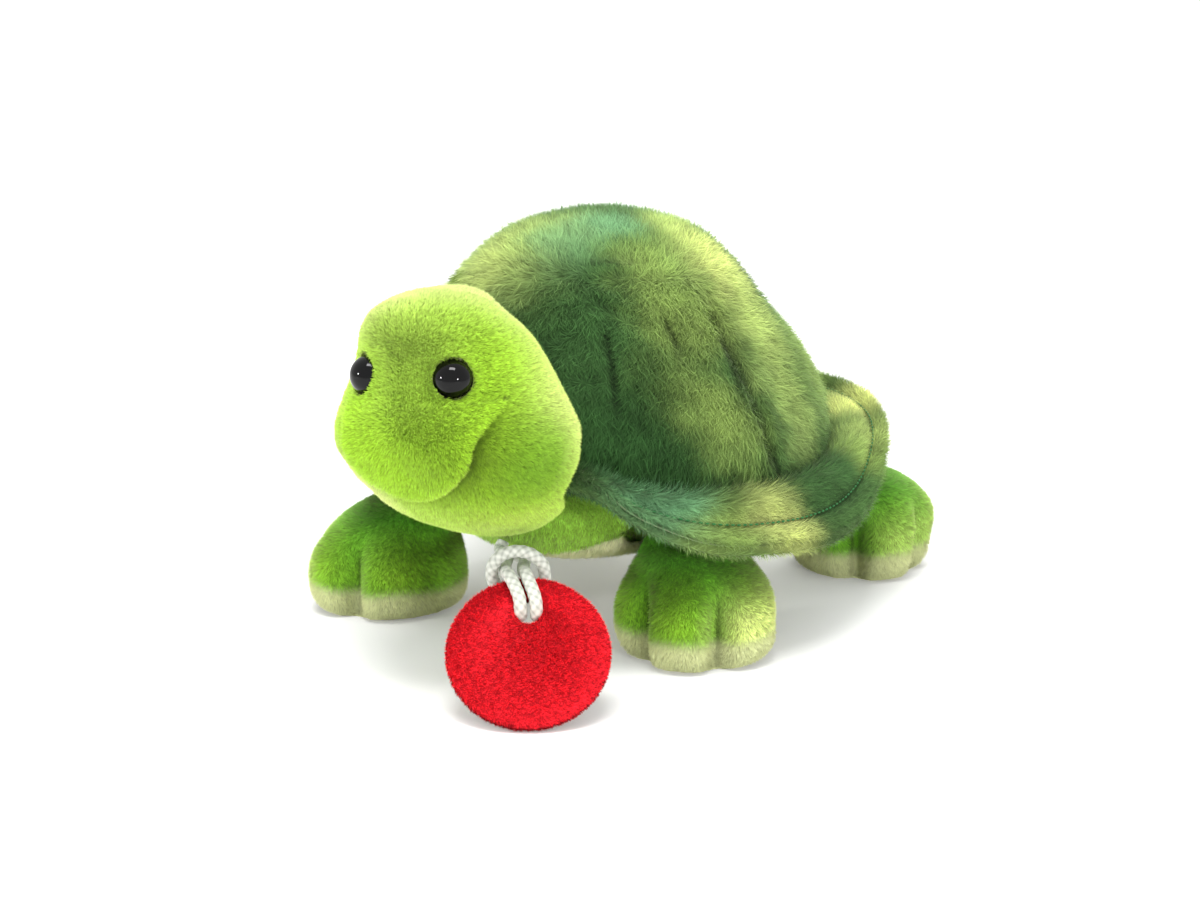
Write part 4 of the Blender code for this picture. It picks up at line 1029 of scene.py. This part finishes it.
headLook = {
    "voxel": 0.0007, "smoothing": 3, "plumpShare": 0.7, "mouthHold": 1.5, "eyeHold": 0.006, "neckHold": -0.052,
    "neckSpan": 0.004, "swell": 0.0003, "swellSize": 0.009, "patchTone": 0.10, "patchSize": 0.008,
    "foldShade": 0.55, "lineShade": 0.35, "combFrom": (0.0, -0.080, 0.058), "combSoft": 0.008, "combDrop": 0.35,
    "linePile": 0.4, "inset": 0.0008, "bareBack": -0.046, "bareFacing": 0.8,
    "relaxed": [(-0.062, 0.056, -1.0, 16), (-0.058, 0.050, 0.010, 30), (-0.055, 0.047, 0.012, 30)]}
# painted sheen: pale patches on the head's top, sides, chin and muzzle; painted shade: the deep patch on the cheek
# under the fold
headPaintedSheenAndShade = [
    (2, -46, 92, 19, "limePaintedSheen", 0.85), (-12, -66, 86, 11, "limePaintedSheen", 0.6), (18, -50, 33, 16, "limeSidePaintedSheen", 0.35),
    (0, -62, 33, 14, "limePaintedSheen", 0.15), (-16, -66, 44, 10, "limePaintedSheen", 0.8), (29, -48, 62, 15, "limeSidePaintedSheen", 1.0),
    (24, -44, 78, 12, "limeSidePaintedSheen", 0.8), (-24, -62, 62, 11, "limeSidePaintedSheen", 0.6), (0, -79, 75, 13, "limePaintedSheen", 0.12),
    (0, -68, 84, 12, "limePaintedSheen", 0.12), (24, -62, 52, 11, "limePaintedShade", 0.95)]
headDents = [(-25, -60, 78, 15, 1.2), (8, -52, 90, 15, 0.9), (26, -50, 84, 10, 0.6)]  # x, y, z, reach and depth in mm


def insideOutline(points, outline):
    # which points lie inside an outline, both seen from the front
    inside = np.zeros(len(points), dtype=bool)
    for index in range(len(outline)):
        ax, az = outline[index]
        bx, bz = outline[index - 1]
        crosses = (az > points[:, 2]) != (bz > points[:, 2])
        inside ^= crosses & (points[:, 0] < (bx - ax) * (points[:, 2] - az) / ((bz - az) or 1e-9) + ax)
    return inside


def foldShift(points):
    # outward swell of the muzzle inside the mouth fold, and the sink outside it
    fold = mouthFold
    route = np.array(fold["points"]) / 1000
    best, strength = nearRoute(points, route, fold["strength"])
    muzzle = insideOutline(points, [(x, z) for x, y, z in route]) & (points[:, 1] < fold["muzzleEnd"])
    swell = fold["bulge"] * (1 - bell(best, fold["rise"])) * bell(best, fold["bulgeReach"])
    away = np.exp(-best / fold["sinkReach"])
    near = bell(best, fold["lineReach"]) * strength
    return np.where(muzzle, swell, -fold["sink"] * away) * strength, near, np.where(muzzle, 0.0, away) * strength


def eyePlace(name):
    # where an eye sits, with its own Z out of the head
    turn, share = eyes["turns"][name] - pi / 2, eyes["heightShare"]
    across = headPoint(share, turn + 0.01) - headPoint(share, turn - 0.01)
    along = headPoint(share + 0.01, turn) - headPoint(share - 0.01, turn)
    normal = across.cross(along).normalized()
    return Matrix.Translation(headPoint(share, turn)) @ normal.to_track_quat("Z", "Y").to_matrix().to_4x4()


def fromEyes(points):
    # distance of each point from the middle of each eye
    return [awayFrom(points, eyePlace(name).translation) for name in eyes["turns"]]


def turnedPiece(name, place, outline, high, count, material=None):
    # a closed form turned about its own Z, from pairs of radius and height
    rings = [[place @ Vector((r * cos(t), r * sin(t), h)) for t in roundTurns(count)] for r, h in outline]
    return stackedPiece(name, rings, place @ Vector((0, 0, outline[0][1])), place @ Vector((0, 0, high)), material)


def eyePiece(name):
    # glossy domed cap on its post
    radius, low, edge = eyes["radius"], -eyes["sink"], eyes["edge"]
    sphere = (radius ** 2 + eyes["cap"] ** 2) / (2 * eyes["cap"])
    top = eyes["band"] + eyes["cap"] + low
    outline = [(eyes["post"], -eyes["postLength"]), (eyes["post"], low), (radius - edge, low), (radius, low + edge)]
    for index in range(eyes["levels"]):
        lift = asin(radius / sphere) * (1 - index / eyes["levels"])
        outline.append((sphere * sin(lift), sphere * cos(lift) - sphere + top))
    return turnedPiece("eye_%s_cap" % name, eyePlace(name), outline, top, 48, eyeMaterial)


eyeMaterial, eyeGraph, eyeShader = newMaterial("eye_gloss", {
    "Base Color": (0.0008, 0.0008, 0.001, 1), "Roughness": 0.03, "Specular IOR Level": 0.24})


def headHold(points):
    # where the head's cloth is held: round the eyes, along the mouth and at the neck
    held = np.clip(foldShift(points)[1] * headLook["mouthHold"], 0, 1)
    for ring in fromEyes(points):
        held = np.maximum(held, bell(ring, headLook["eyeHold"], 4))
    return np.maximum(held, ramp(points[:, 1], headLook["neckHold"], headLook["neckSpan"]))


def headBare(spots, facing):
    # no pile under the eyes and in the neck's seat
    eyed = np.min(fromEyes(spots), axis=0) < eyes["radius"] - eyes["edge"]
    return eyed | ((spots[:, 1] > headLook["bareBack"]) & (facing[:, 1] > headLook["bareFacing"]))


def makeHead():
    look, lift = headLook, head["lift"]
    cutters = [torsoForm("bodyRoom", head["swing"]), shellForm("shellRoom", head["nod"]),
               brimForm("brimRoom", -lift, shell["topLayer"] + shell["lining"] + 2 * lift, head["swing"]),
               ballPiece("socket", toGround + Vector(head["neck"]), head["neckRadius"] + seamGap)]
    for name in eyes["turns"]:
        radius, low = eyes["radius"] - eyes["holeTrim"], -eyes["sink"] - seamGap
        cutters.append(turnedPiece("eyeRoom", eyePlace(name), [(radius, low), (radius, 0.01)], 0.01, 40))
    skin = cutRounded(headForm("head_skin"), cutters, look["voxel"], look["smoothing"])
    for back, below, aside, rounds in look["relaxed"]:
        relax(skin, lambda spots: (spots[:, 1] > back) & (spots[:, 2] < below) & (np.abs(spots[:, 0]) > aside),
              rounds)
    plump(skin, headHold, look["plumpShare"])
    points, normals = readPoints(skin.data, True)
    shift, near, shade = foldShift(points)
    for away in fromEyes(points):
        shift = shift - eyes["hollow"] * bell(away, eyes["hollowReach"])
    for x, y, z, reach, depth in headDents:
        shift = shift - depth / 1000 * bell(awayFrom(points, (x / 1000, y / 1000, z / 1000)), reach / 1000)
    shift += look["swell"] * cloudNoise(points, look["swellSize"], 7)
    writePoints(skin.data, points + normals * column(shift))
    points = readPoints(skin.data)
    # the head's lime with its patches of painted sheen and painted shade laid over it
    paint = paintBlobs(points, "lime", headPaintedSheenAndShade)
    paint *= column(1 + look["patchTone"] * cloudNoise(points, look["patchSize"], 8))
    paint *= column(1 - look["foldShade"] * shade - look["lineShade"] * near)
    rings = [np.maximum(ring - eyes["radius"], 0) for ring in fromEyes(points)]
    for ring in rings:
        paint *= column(1 - eyes["shadow"] * bell(ring, eyes["shadowReach"]))
    comb = points - np.array(look["combFrom"])
    comb *= 1 / column(np.linalg.norm(comb, axis=1) + look["combSoft"])
    comb += np.array([0, 0, -look["combDrop"]])
    share = np.clip(1 - look["linePile"] * near, 0.4, 1)
    for ring in rings:
        share *= 1 - eyes["ringPile"] * bell(ring, eyes["ringReach"])
    sunk = share * np.prod([1 - bell(ring, eyes["ringSink"]) for ring in rings], axis=0)
    finishSkin(skin, plushSkin, look["inset"], paint, comb, share, headBare, sunk)
    dress(skin, "head", "head")
    growPile(skin, "head_pile", headPileSettings, plushPile, "head", 140)
    for name in eyes["turns"]:
        dress(eyePiece(name), "eye_" + name, "head")
    print("head", len(skin.data.vertices))


makeHead()


# body, belly and neck

bodyPileSettings = {"Strand": shortStrand, "Per Square Metre": 8.0e6, "Length": 0.0012, "Width": 0.00021,
                    "Clump Size": 0.0012, "Clump Stretch": 1.4, "Clump Pull": 1.6, "Spread": 0.6, "Loose Tone": 0.35}


def copyOfNode(name, node, voxel, smoothing):
    piece = placed(name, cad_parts[node].data.copy())
    work = bmesh.new()
    work.from_mesh(piece.data)
    bmesh.ops.remove_doubles(work, verts=work.verts, dist=0.00001)
    work.to_mesh(piece.data)
    work.free()
    return cutRounded(piece, [], voxel, smoothing)


bodyLook = {
    "voxel": 0.0009, "smoothing": 8, "inset": 0.0006, "patchTone": 0.12, "patchSize": 0.008,
    "comb": (0.0, -0.3, -1.0), "edgeHeight": 0.0252, "edgeSpan": 0.0015, "bareAbove": 0.043, "bareFacing": 0.7}


def makeBody():
    look = bodyLook
    for node, name, slotName, base in (("torso", "torso_skin", "green_plush", "chest"),
                                       ("belly_panel", "belly_skin", "pale_plush", "belly"),
                                       ("neck", "neck_skin", "green_plush", "chest")):
        skin = copyOfNode(name, node, look["voxel"], look["smoothing"])
        points = readPoints(skin.data)
        paint = paintBlobs(points, base)
        if node == "belly_panel":  # its edge beside the legs is green
            paint = blend(paint, ramp(points[:, 2], look["edgeHeight"], look["edgeSpan"]), "chest")
        paint *= column(1 + look["patchTone"] * cloudNoise(points, look["patchSize"], 11))
        comb = np.tile(np.array(look["comb"]), (len(points), 1))
        finishSkin(skin, plushSkin, look["inset"], paint, comb, np.ones(len(points)),
                   lambda spots, facing: (spots[:, 2] > look["bareAbove"]) | (facing[:, 2] > look["bareFacing"]))
        dress(skin, node, "neck" if node == "neck" else "body")
        if node != "neck":
            finish = plushPile if node == "torso" else solePile
            growPile(skin, node + "_pile", bodyPileSettings, finish, "body", 160 + len(node))
    print("body ready")


makeBody()


# legs

legPileSettings = {"Strand": shortStrand, "Per Square Metre": 1.8e7, "Length": 0.0014, "Width": 0.00030,
                   "Clump Size": 0.0010, "Clump Stretch": 1.6, "Clump Pull": 2.0, "Spread": 0.5, "Loose Tone": 0.35}
legLook = {
    "voxel": 0.0008, "smoothing": 2, "bodyRoom": 0.0030, "plumpShare": 0.5, "inset": 0.0009, "edgeSwell": 0.0003,
    "edgeSize": 0.004, "edgeBlur": 0.00045, "patchTone": 0.14, "patchSize": 0.007, "lowHeight": 0.024,
    # light is painted light (least, by height, by facing up, on the toes), rim a painted sheen and groundShade
    # painted shade just above the floor
    "lowSpan": 0.012, "light": (0.05, 0.40, 0.30, 0.25), "rimStart": 0.45, "rimSpan": 0.5, "groundShade": 0.20,
    "grooveReach": 0.018, "grooveShade": 0.65, "grooveTop": 0.019, "combDrop": 0.8,
    # per kind of paw: how much painted light and painted rim sheen, and the sole's share, lower on the rear paws as
    # painted shade
    "front": {"light": 1.0, "rim": 1.0, "sole": 1.0}, "rear": {"light": 0.6, "rim": 0.4, "sole": 0.95}}


def pawTurns(points, centre, heading):
    # turn of each point round the paw's middle, measured as the solid's is, and its distance from there
    flat = points[:, :2] - np.array((toGround.x + centre[0], toGround.y + centre[1]))
    across = flat[:, 0] * cos(heading) + flat[:, 1] * sin(heading)
    along = -flat[:, 0] * sin(heading) + flat[:, 1] * cos(heading)
    return np.arctan2(along, across), np.hypot(flat[:, 0], flat[:, 1])


def betweenToes(turns, reach):
    # 1 along the middle of each groove between two toes
    aways = [np.array([toeAway(turn, place) for turn in turns]) for place in legs["creases"]]
    return np.max([bell(away, reach) for away in aways], axis=0)


def partOfPaw(whole, name, edges, upper):
    # the part of the paw above or below the sole's edge, closed over the cut
    piece = placed(name, whole.data.copy())
    work = bmesh.new()
    work.from_mesh(piece.data)
    beyond = any if upper else all
    away = [face for face in work.faces if beyond((v.co.z > edges[v.index]) != upper for v in face.verts)]
    bmesh.ops.delete(work, geom=away, context="FACES")
    rim = [edge for edge in work.edges if edge.is_boundary]
    middle = sum((vertex.co for edge in rim for vertex in edge.verts), Vector()) / (2 * len(rim))
    hub = work.verts.new(middle + Vector((0, 0, 0.001 if upper else -0.001)))
    for edge in rim:
        loop = edge.link_loops[0]
        work.faces.new((loop.link_loop_next.vert, loop.vert, hub))
        edge.smooth = False
    work.to_mesh(piece.data)
    work.free()
    return piece


def makeLeg(placeName):
    side, kind, centre, heading = legs["places"][placeName]
    look, form, amount = legLook, legs[kind], legLook[kind]
    hip = toGround + Vector((side * form["hip"][0], form["hip"][1], form["hip"][2]))
    whole = cutRounded(legForm("paw", placeName), [torsoForm("bodyRoom", look["bodyRoom"])], look["voxel"],
                       look["smoothing"], [ballPiece("hip", hip, form["hipRadius"])])

    def hold(points):
        # the sole, the grooves between the toes and the top of the leg are held
        groove = betweenToes(pawTurns(points, centre, heading)[0], 0.05) * ramp(-points[:, 2], -0.018, 0.003)
        ends = np.maximum(ramp(-points[:, 2], -0.0025, 0.0015), ramp(points[:, 2], 0.024, 0.003))
        return np.maximum(groove, ends)

    plump(whole, hold, look["plumpShare"])
    points, normals = readPoints(whole.data, True)
    turns, reach = pawTurns(points, centre, heading)
    edges = np.array([soleEdge(turn) for turn in turns])
    edges += look["edgeSwell"] * cloudNoise(points, look["edgeSize"], 31)
    toes = np.array([toeShare(turn) for turn in turns])
    low = ramp(-points[:, 2], -look["lowHeight"], look["lowSpan"])
    # painted light: lighter low on the paw, where it faces up and on the toes, the upper paw left in its shaded
    # green, and the rear paws darker as painted shade
    least, byHeight, byFacing, byToe = look["light"]
    light = np.clip(least + low * (byHeight + byFacing * normals[:, 2] + byToe * toes), 0, 1) * amount["light"]
    # painted sheen: a pale rim low on the paw's outer side, weaker on the rear paws
    outer = side * (points[:, 0] - toGround.x - centre[0]) / form["halfWidth"]
    rim = ramp(outer, look["rimStart"], look["rimSpan"]) * low ** 1.5 * amount["rim"]
    green = blend(blend(paintBlobs(points, "green"), light, "greenPaintedLight"), rim, "greenPaintedRimSheen")
    pale = column(1 / (1 + np.exp((points[:, 2] - edges) / look["edgeBlur"])))
    # painted shade: the sole darker just above the floor, and the rear paws' soles a little darker all over
    ground = column(1 - look["groundShade"] * (1 - ramp(points[:, 2], 0.001, 0.004))) * amount["sole"]
    paint = green * (1 - pale) + np.array(colours["sole"]) * ground * pale
    paint *= column(1 + look["patchTone"] * cloudNoise(points, look["patchSize"], 20 + len(placeName)))
    groove = betweenToes(turns, look["grooveReach"]) * ramp(reach, 0.008, 0.005) \
        * ramp(-points[:, 2], -look["grooveTop"], 0.005)
    paint *= 1 - look["grooveShade"] * column(groove) ** 2 * (1 - 0.5 * pale)
    comb = np.stack([points[:, 0] - hip.x, points[:, 1] - hip.y, 0 * reach], axis=1)
    comb *= column(np.clip(normals[:, 2], 0, 1) / (np.linalg.norm(comb, axis=1) + 1e-9))
    comb[:, 2] -= look["combDrop"]
    share = np.clip(1 - 0.5 * groove, 0.4, 1) * np.clip(points[:, 2] / 0.0015, 0.05, 1)
    finishSkin(whole, plushSkin, look["inset"], paint, comb, share,
               lambda spots, facing: (spots[:, 2] < 0.0008) & (facing[:, 2] < -0.5))
    body = "leg_" + placeName
    for node, upper, slotName, fill, pile in ((body, True, "green_plush", 0.9, plushPile),
                                              ("sole_" + placeName, False, "pale_plush", 0.8, solePile)):
        skin = partOfPaw(whole, node + "_skin", edges, upper)
        dress(skin, node, body)
        if not upper:
            skin.data.materials[0] = soleSkin
        growPile(skin, node + "_pile", legPileSettings, pile, body, 200 + len(node))
    bpy.data.objects.remove(whole)


for placeName in legs["places"]:
    makeLeg(placeName)
print("legs ready")


# tag and cord

tag = {
    "radius": 0.0169, "layer": 0.00085, "holeRise": 0.0088, "holeLift": 1.06, "clothHole": 0.0031, "ring": 0.0128,
    "bevel": 0.00022, "heading": radians(30), "lean": radians(46), "foot": (0.0319, -0.0822),
    "front": (0.78, 0.016, 0.028), "back": (0.34, 0.010, 0.016)}
# route: middle of the two strands, spread to one side, rise up the tag and distance in front of it
cordLook = {
    "radius": 0.0014, "points": 760, "around": 32, "exit": (0.0020, -0.0390), "spread": 0.0019, "lead": 0.0024,
    "braidPitch": 0.0034, "braidHeight": 0.00013, "braidColumns": 4, "braidPaintedShade": (0.30, 0.32, 0.265),
    "braidPaintedHighlight": (0.72, 0.74, 0.66),
    "route": [
        (-0.0032, 0.0020, 0.0298, -0.0156), (-0.0033, 0.0020, 0.0238, -0.0073), (-0.0031, 0.0019, 0.0200, -0.0028),
        (-0.0024, 0.0018, 0.0172, 0.0011), (-0.0012, 0.0017, 0.0142, 0.0019), (-0.0003, 0.00166, 0.0117, 0.0017),
        (0.0, 0.00166, 0.0098, 0.0008), (0.0, 0.00166, 0.0089, -0.0010), (0.0, 0.00166, 0.0098, -0.0029),
        (-0.0002, 0.0018, 0.0120, -0.0040), (-0.0010, 0.0033, 0.0147, -0.0045), (-0.0019, 0.0050, 0.0171, -0.0040),
        (-0.0023, 0.0056, 0.0191, -0.0028), (-0.0024, 0.0050, 0.0211, -0.0012), (-0.0025, 0.0029, 0.0225, 0.0002),
        (-0.0025, 0.0, 0.0230, 0.0006)]}


def tagAxes():
    # across the tag, up it and out of its face
    across = Vector((cos(tag["heading"]), sin(tag["heading"]), 0))
    inward = Vector((-sin(tag["heading"]), cos(tag["heading"]), 0))
    up = inward * cos(tag["lean"]) + Vector((0, 0, sin(tag["lean"])))
    return across, up, across.cross(up)


def tagCentre():
    rise = seamGap + (2 * tag["layer"] + seamGap) * cos(tag["lean"])
    return toGround + Vector((tag["foot"][0], tag["foot"][1], rise)) + tagAxes()[1] * tag["radius"]


def chestPoint(x, y):
    # a place on the front of the body, and the way its cloth faces there
    wide, deep, tall = torso["size"]
    shareX, shareY = x / wide, (y - shell["centreY"]) / deep
    shareZ = -sqrt(1 - shareX ** 2 - shareY ** 2)
    point = toGround + Vector((x, y, torso["centreHeight"] + shareZ * tall))
    return point, Vector((shareX / wide, shareY / deep, shareZ / tall)).normalized()


def cordHalf(side):
    across, up, face = tagAxes()
    centre = tagCentre()
    shift = across * side * cordLook["spread"]
    start, normal = chestPoint(cordLook["exit"][0] + shift.x, cordLook["exit"][1] + shift.y)
    points = [start + normal * seamGap, start + normal * cordLook["lead"]]
    for middle, spread, rise, front in cordLook["route"]:
        points.append(centre + across * (middle + side * spread) + up * rise + face * front)
    return points


def smoothPath(points, count):
    # an even run of places along a smooth curve through the points, and its length
    fine = []
    ends = [points[0] * 2 - points[1]] + points + [points[-1] * 2 - points[-2]]
    for a, b, c, d in zip(ends, ends[1:], ends[2:], ends[3:]):
        for s in (step / 24 for step in range(24)):
            fine.append((b * 2 + (c - a) * s + (a * 2 - b * 5 + c * 4 - d) * s ** 2
                         + (b * 3 - a - c * 3 + d) * s ** 3) / 2)
    fine.append(points[-1])
    runs = [0.0]
    for before, after in zip(fine, fine[1:]):
        runs.append(runs[-1] + (after - before).length)
    path, index = [], 0
    for step in range(count):
        goal = runs[-1] * step / (count - 1)
        while index < len(fine) - 2 and runs[index + 1] < goal:
            index += 1
        part = (goal - runs[index]) / (runs[index + 1] - runs[index])
        path.append(fine[index].lerp(fine[index + 1], min(max(part, 0.0), 1.0)))
    return path, runs[-1]


def braidHeight(turn, run):
    # two sets of strands wound opposite ways, each passing over and under the other
    columns = cordLook["braidColumns"]
    around, along = columns * turn / (2 * pi), run / cordLook["braidPitch"] * columns / 2
    first, second = around + along, around - along
    over = 0.5 + 0.5 * cos(pi * (first + second)) * cos(pi * (first - second))
    return over * abs(sin(pi * first)) + (1 - over) * abs(sin(pi * second))


def makeCord():
    path, length = smoothPath(cordHalf(-1) + cordHalf(1)[-2::-1], cordLook["points"])
    side = (path[1] - path[0]).normalized().orthogonal().normalized()
    points, braid, run = [], [], 0.0
    for index, place in enumerate(path):
        ahead = (path[min(index + 1, len(path) - 1)] - path[max(index - 1, 0)]).normalized()
        side = (side - ahead * side.dot(ahead)).normalized()
        other = ahead.cross(side)
        if index:
            run += (place - path[index - 1]).length
        for turn in roundTurns(cordLook["around"]):
            height = braidHeight(turn, run)
            radius = cordLook["radius"] + cordLook["braidHeight"] * (height - 1)
            points.append(place + (side * cos(turn) + other * sin(turn)) * radius)
            braid.append(height)
    count = cordLook["around"]
    ends = [tuple(range(count))[::-1], tuple(range(len(points) - count, len(points)))]
    material, g, shader = newMaterial("cord_braid", {
        "Roughness": 0.55, "Sheen Weight": 0.3, "Specular IOR Level": 0.4})
    # the cord's colour runs from painted shade in the braid's hollows to a painted highlight on its raised strands
    g.fill(shader.inputs["Base Color"],
           g.mixColour(g.attribute("braid", "Fac"), cordLook["braidPaintedShade"], cordLook["braidPaintedHighlight"]))
    cord = pieceFrom("tag_cord_braid", points, wallFaces(len(path), count) + ends, material)
    setAttribute(cord.data, "braid", "FLOAT", braid)
    dress(cord, "tag_cord", "tag")
    return cord, path, length


def tagPlate(name, depth, material):
    # round layer with its hole, edges slightly rounded
    across, up, face = tagAxes()
    centre = tagCentre()
    hole = centre + up * tag["holeRise"] * tag["holeLift"]  # the cloth closes in on the cord from below
    radius, bevel, ring, inside = tag["radius"], tag["bevel"], tag["ring"], tag["clothHole"]
    top, low = -depth, -depth - tag["layer"]
    loops = []
    for turn in roundTurns(120):
        out = across * cos(turn) + up * sin(turn)
        loops.append([middle + out * reach + face * height for middle, reach, height in (
            (centre, ring, low), (hole, inside, low), (hole, inside, top), (centre, ring, top),
            (centre, radius - bevel, top), (centre, radius, top - bevel), (centre, radius, low + bevel),
            (centre, radius - bevel, low))])
    return bandPiece(name, loops, material)


tagLook = {**plushLook, "sheenTint": (1.0, 0.6, 0.5), "sheen": 0.05, "rootPaintedShade": 0.62, "tipPaintedLight": 1.52, "toneSpread": 1.10,
           "skinShare": 0.4, "grainScale": 1500}
tagPile = pileMaterial("tag_pile", tagLook)
tagSkin = skinMaterial("tag_cloth", tagLook)
tagPileSettings = {"Strand": shortStrand, "Per Square Metre": 2.6e7, "Length": 0.0007, "Width": 0.00032,
                   "Clump Size": 0.0010, "Clump Stretch": 1.8, "Clump Pull": 2.6, "Spread": 0.8, "Loose Tone": 0.5}


def makeTag():
    across, up, face = tagAxes()
    pieces = []
    for node, depth, colour, way in (("tag_front", 0.0, tag["front"], -1),
                                     ("tag_back", tag["layer"] + seamGap, tag["back"], 1)):
        plate = tagPlate(node + "_cloth", depth, tagSkin)
        count = len(plate.data.vertices)
        comb = np.tile(np.array(across * 0.8 - up * 0.5), (count, 1))
        finishSkin(plate, tagSkin, 0.0, np.tile(np.array(colour), (count, 1)), comb, np.ones(count),
                   lambda spots, facing: facing @ np.array(face * way) > 0.5)
        dress(plate, node, "tag")
        pieces += [plate, growPile(plate, node + "_pile", tagPileSettings, tagPile, "tag", 240 + len(node))]
    return pieces


cord, cordPath, cordLength = makeCord()
tagPieces = makeTag()
[tuple(p) for p in cordPath[::4]] + [tuple(cordPath[-1])]
print("cord", round(cordLength, 4))

for helper in (longStrand, furStrand, shortStrand):
    bpy.data.objects.remove(helper)


# washers inside the head keep their solids

washerMaterial, washerGraph, washerShader = newMaterial("washer_plastic", {"Base Color": (0.75, 0.75, 0.72, 1)})
washerGraph.fill(washerShader.inputs["Roughness"], 0.35 + 0.1 * washerGraph.grain(800.0))
for name in ("eye_washer_left", "eye_washer_right"):
    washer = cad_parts[name]
    washer.data.materials.clear()
    washer.data.materials.append(washerMaterial)


# floor, light and camera

def makeStage():
    material, g, shader = newMaterial("floor_paper", {
        "Roughness": 0.9, "Specular IOR Level": 0.1, "Base Color": (0.90, 0.90, 0.89, 1),
        "Emission Color": (1, 1, 1, 1)})
    rays = g.add("ShaderNodeLightPath", None, None, "Is Camera Ray")
    seen = rays + rays.also("Is Glossy Ray") + rays.also("Is Transmission Ray")
    g.fill(shader.inputs["Emission Strength"], 0.16 * seen)
    reach = 4
    floor = [(-reach, -reach, 0), (reach, -reach, 0), (reach, reach, 0), (-reach, reach, 0)]
    pieceFrom("floor", floor, [(0, 1, 2, 3)], material)
    world = bpy.data.worlds.new("studio")
    bpy.context.scene.world = world
    world.use_nodes = True
    back = world.node_tree.nodes["Background"]
    back.inputs["Color"].default_value = (1.0, 1.0, 1.0, 1.0)
    back.inputs["Strength"].default_value = 1.0


def aimed(thing, place, away):
    # puts a light or the camera in its place, looking back along a direction
    thing.location = place
    thing.rotation_euler = away.to_track_quat("Z", "Y").to_euler()
    return thing


def addLight(name, place, power, size, height=None):
    data = bpy.data.lights.new(name, "AREA")
    data.shape = "RECTANGLE" if height else "DISK"
    data.size = size
    if height:
        data.size_y = height
    data.energy = power
    aimed(placed(name, data), place, Vector(place) - Vector((0.0, 0.0, 0.045)))


makeStage()
for name, place, power, size in (("softboxAbove", (0.10, -0.25, 0.75), 3.4, (0.34, 0.18)),
                                 ("softboxRear", (-0.25, 0.60, 0.65), 4.0, (0.7, 0.5)),
                                 ("fillLeft", (-0.45, -0.65, 0.22), 1.6, (0.08,)),
                                 ("fillRight", (0.70, -0.45, 0.22), 1.8, (0.08,))):
    addLight(name, place, power, *size)

# focal length and the middle's shift in pixels of the photo
view = {"azimuth": radians(30), "elevation": radians(14.5), "distance": 0.65,
        "target": Vector((0.0063, -0.0060, 0.045)), "focal": 2876.25, "width": 1200, "targetRow": 20, "sensor": 36.0}
level = cos(view["elevation"])
away = Vector((sin(view["azimuth"]) * level, -cos(view["azimuth"]) * level, sin(view["elevation"])))
data = bpy.data.cameras.new("camera")
data.sensor_width = view["sensor"]
data.lens = view["focal"] / view["width"] * view["sensor"]
data.shift_y = -view["targetRow"] / view["width"]
data.clip_start, data.clip_end = 0.01, 20.0
camera = aimed(placed("camera", data), view["target"] + away * view["distance"], away)
bpy.context.scene.camera = camera
bpy.context.scene.view_settings.view_transform = "Standard"
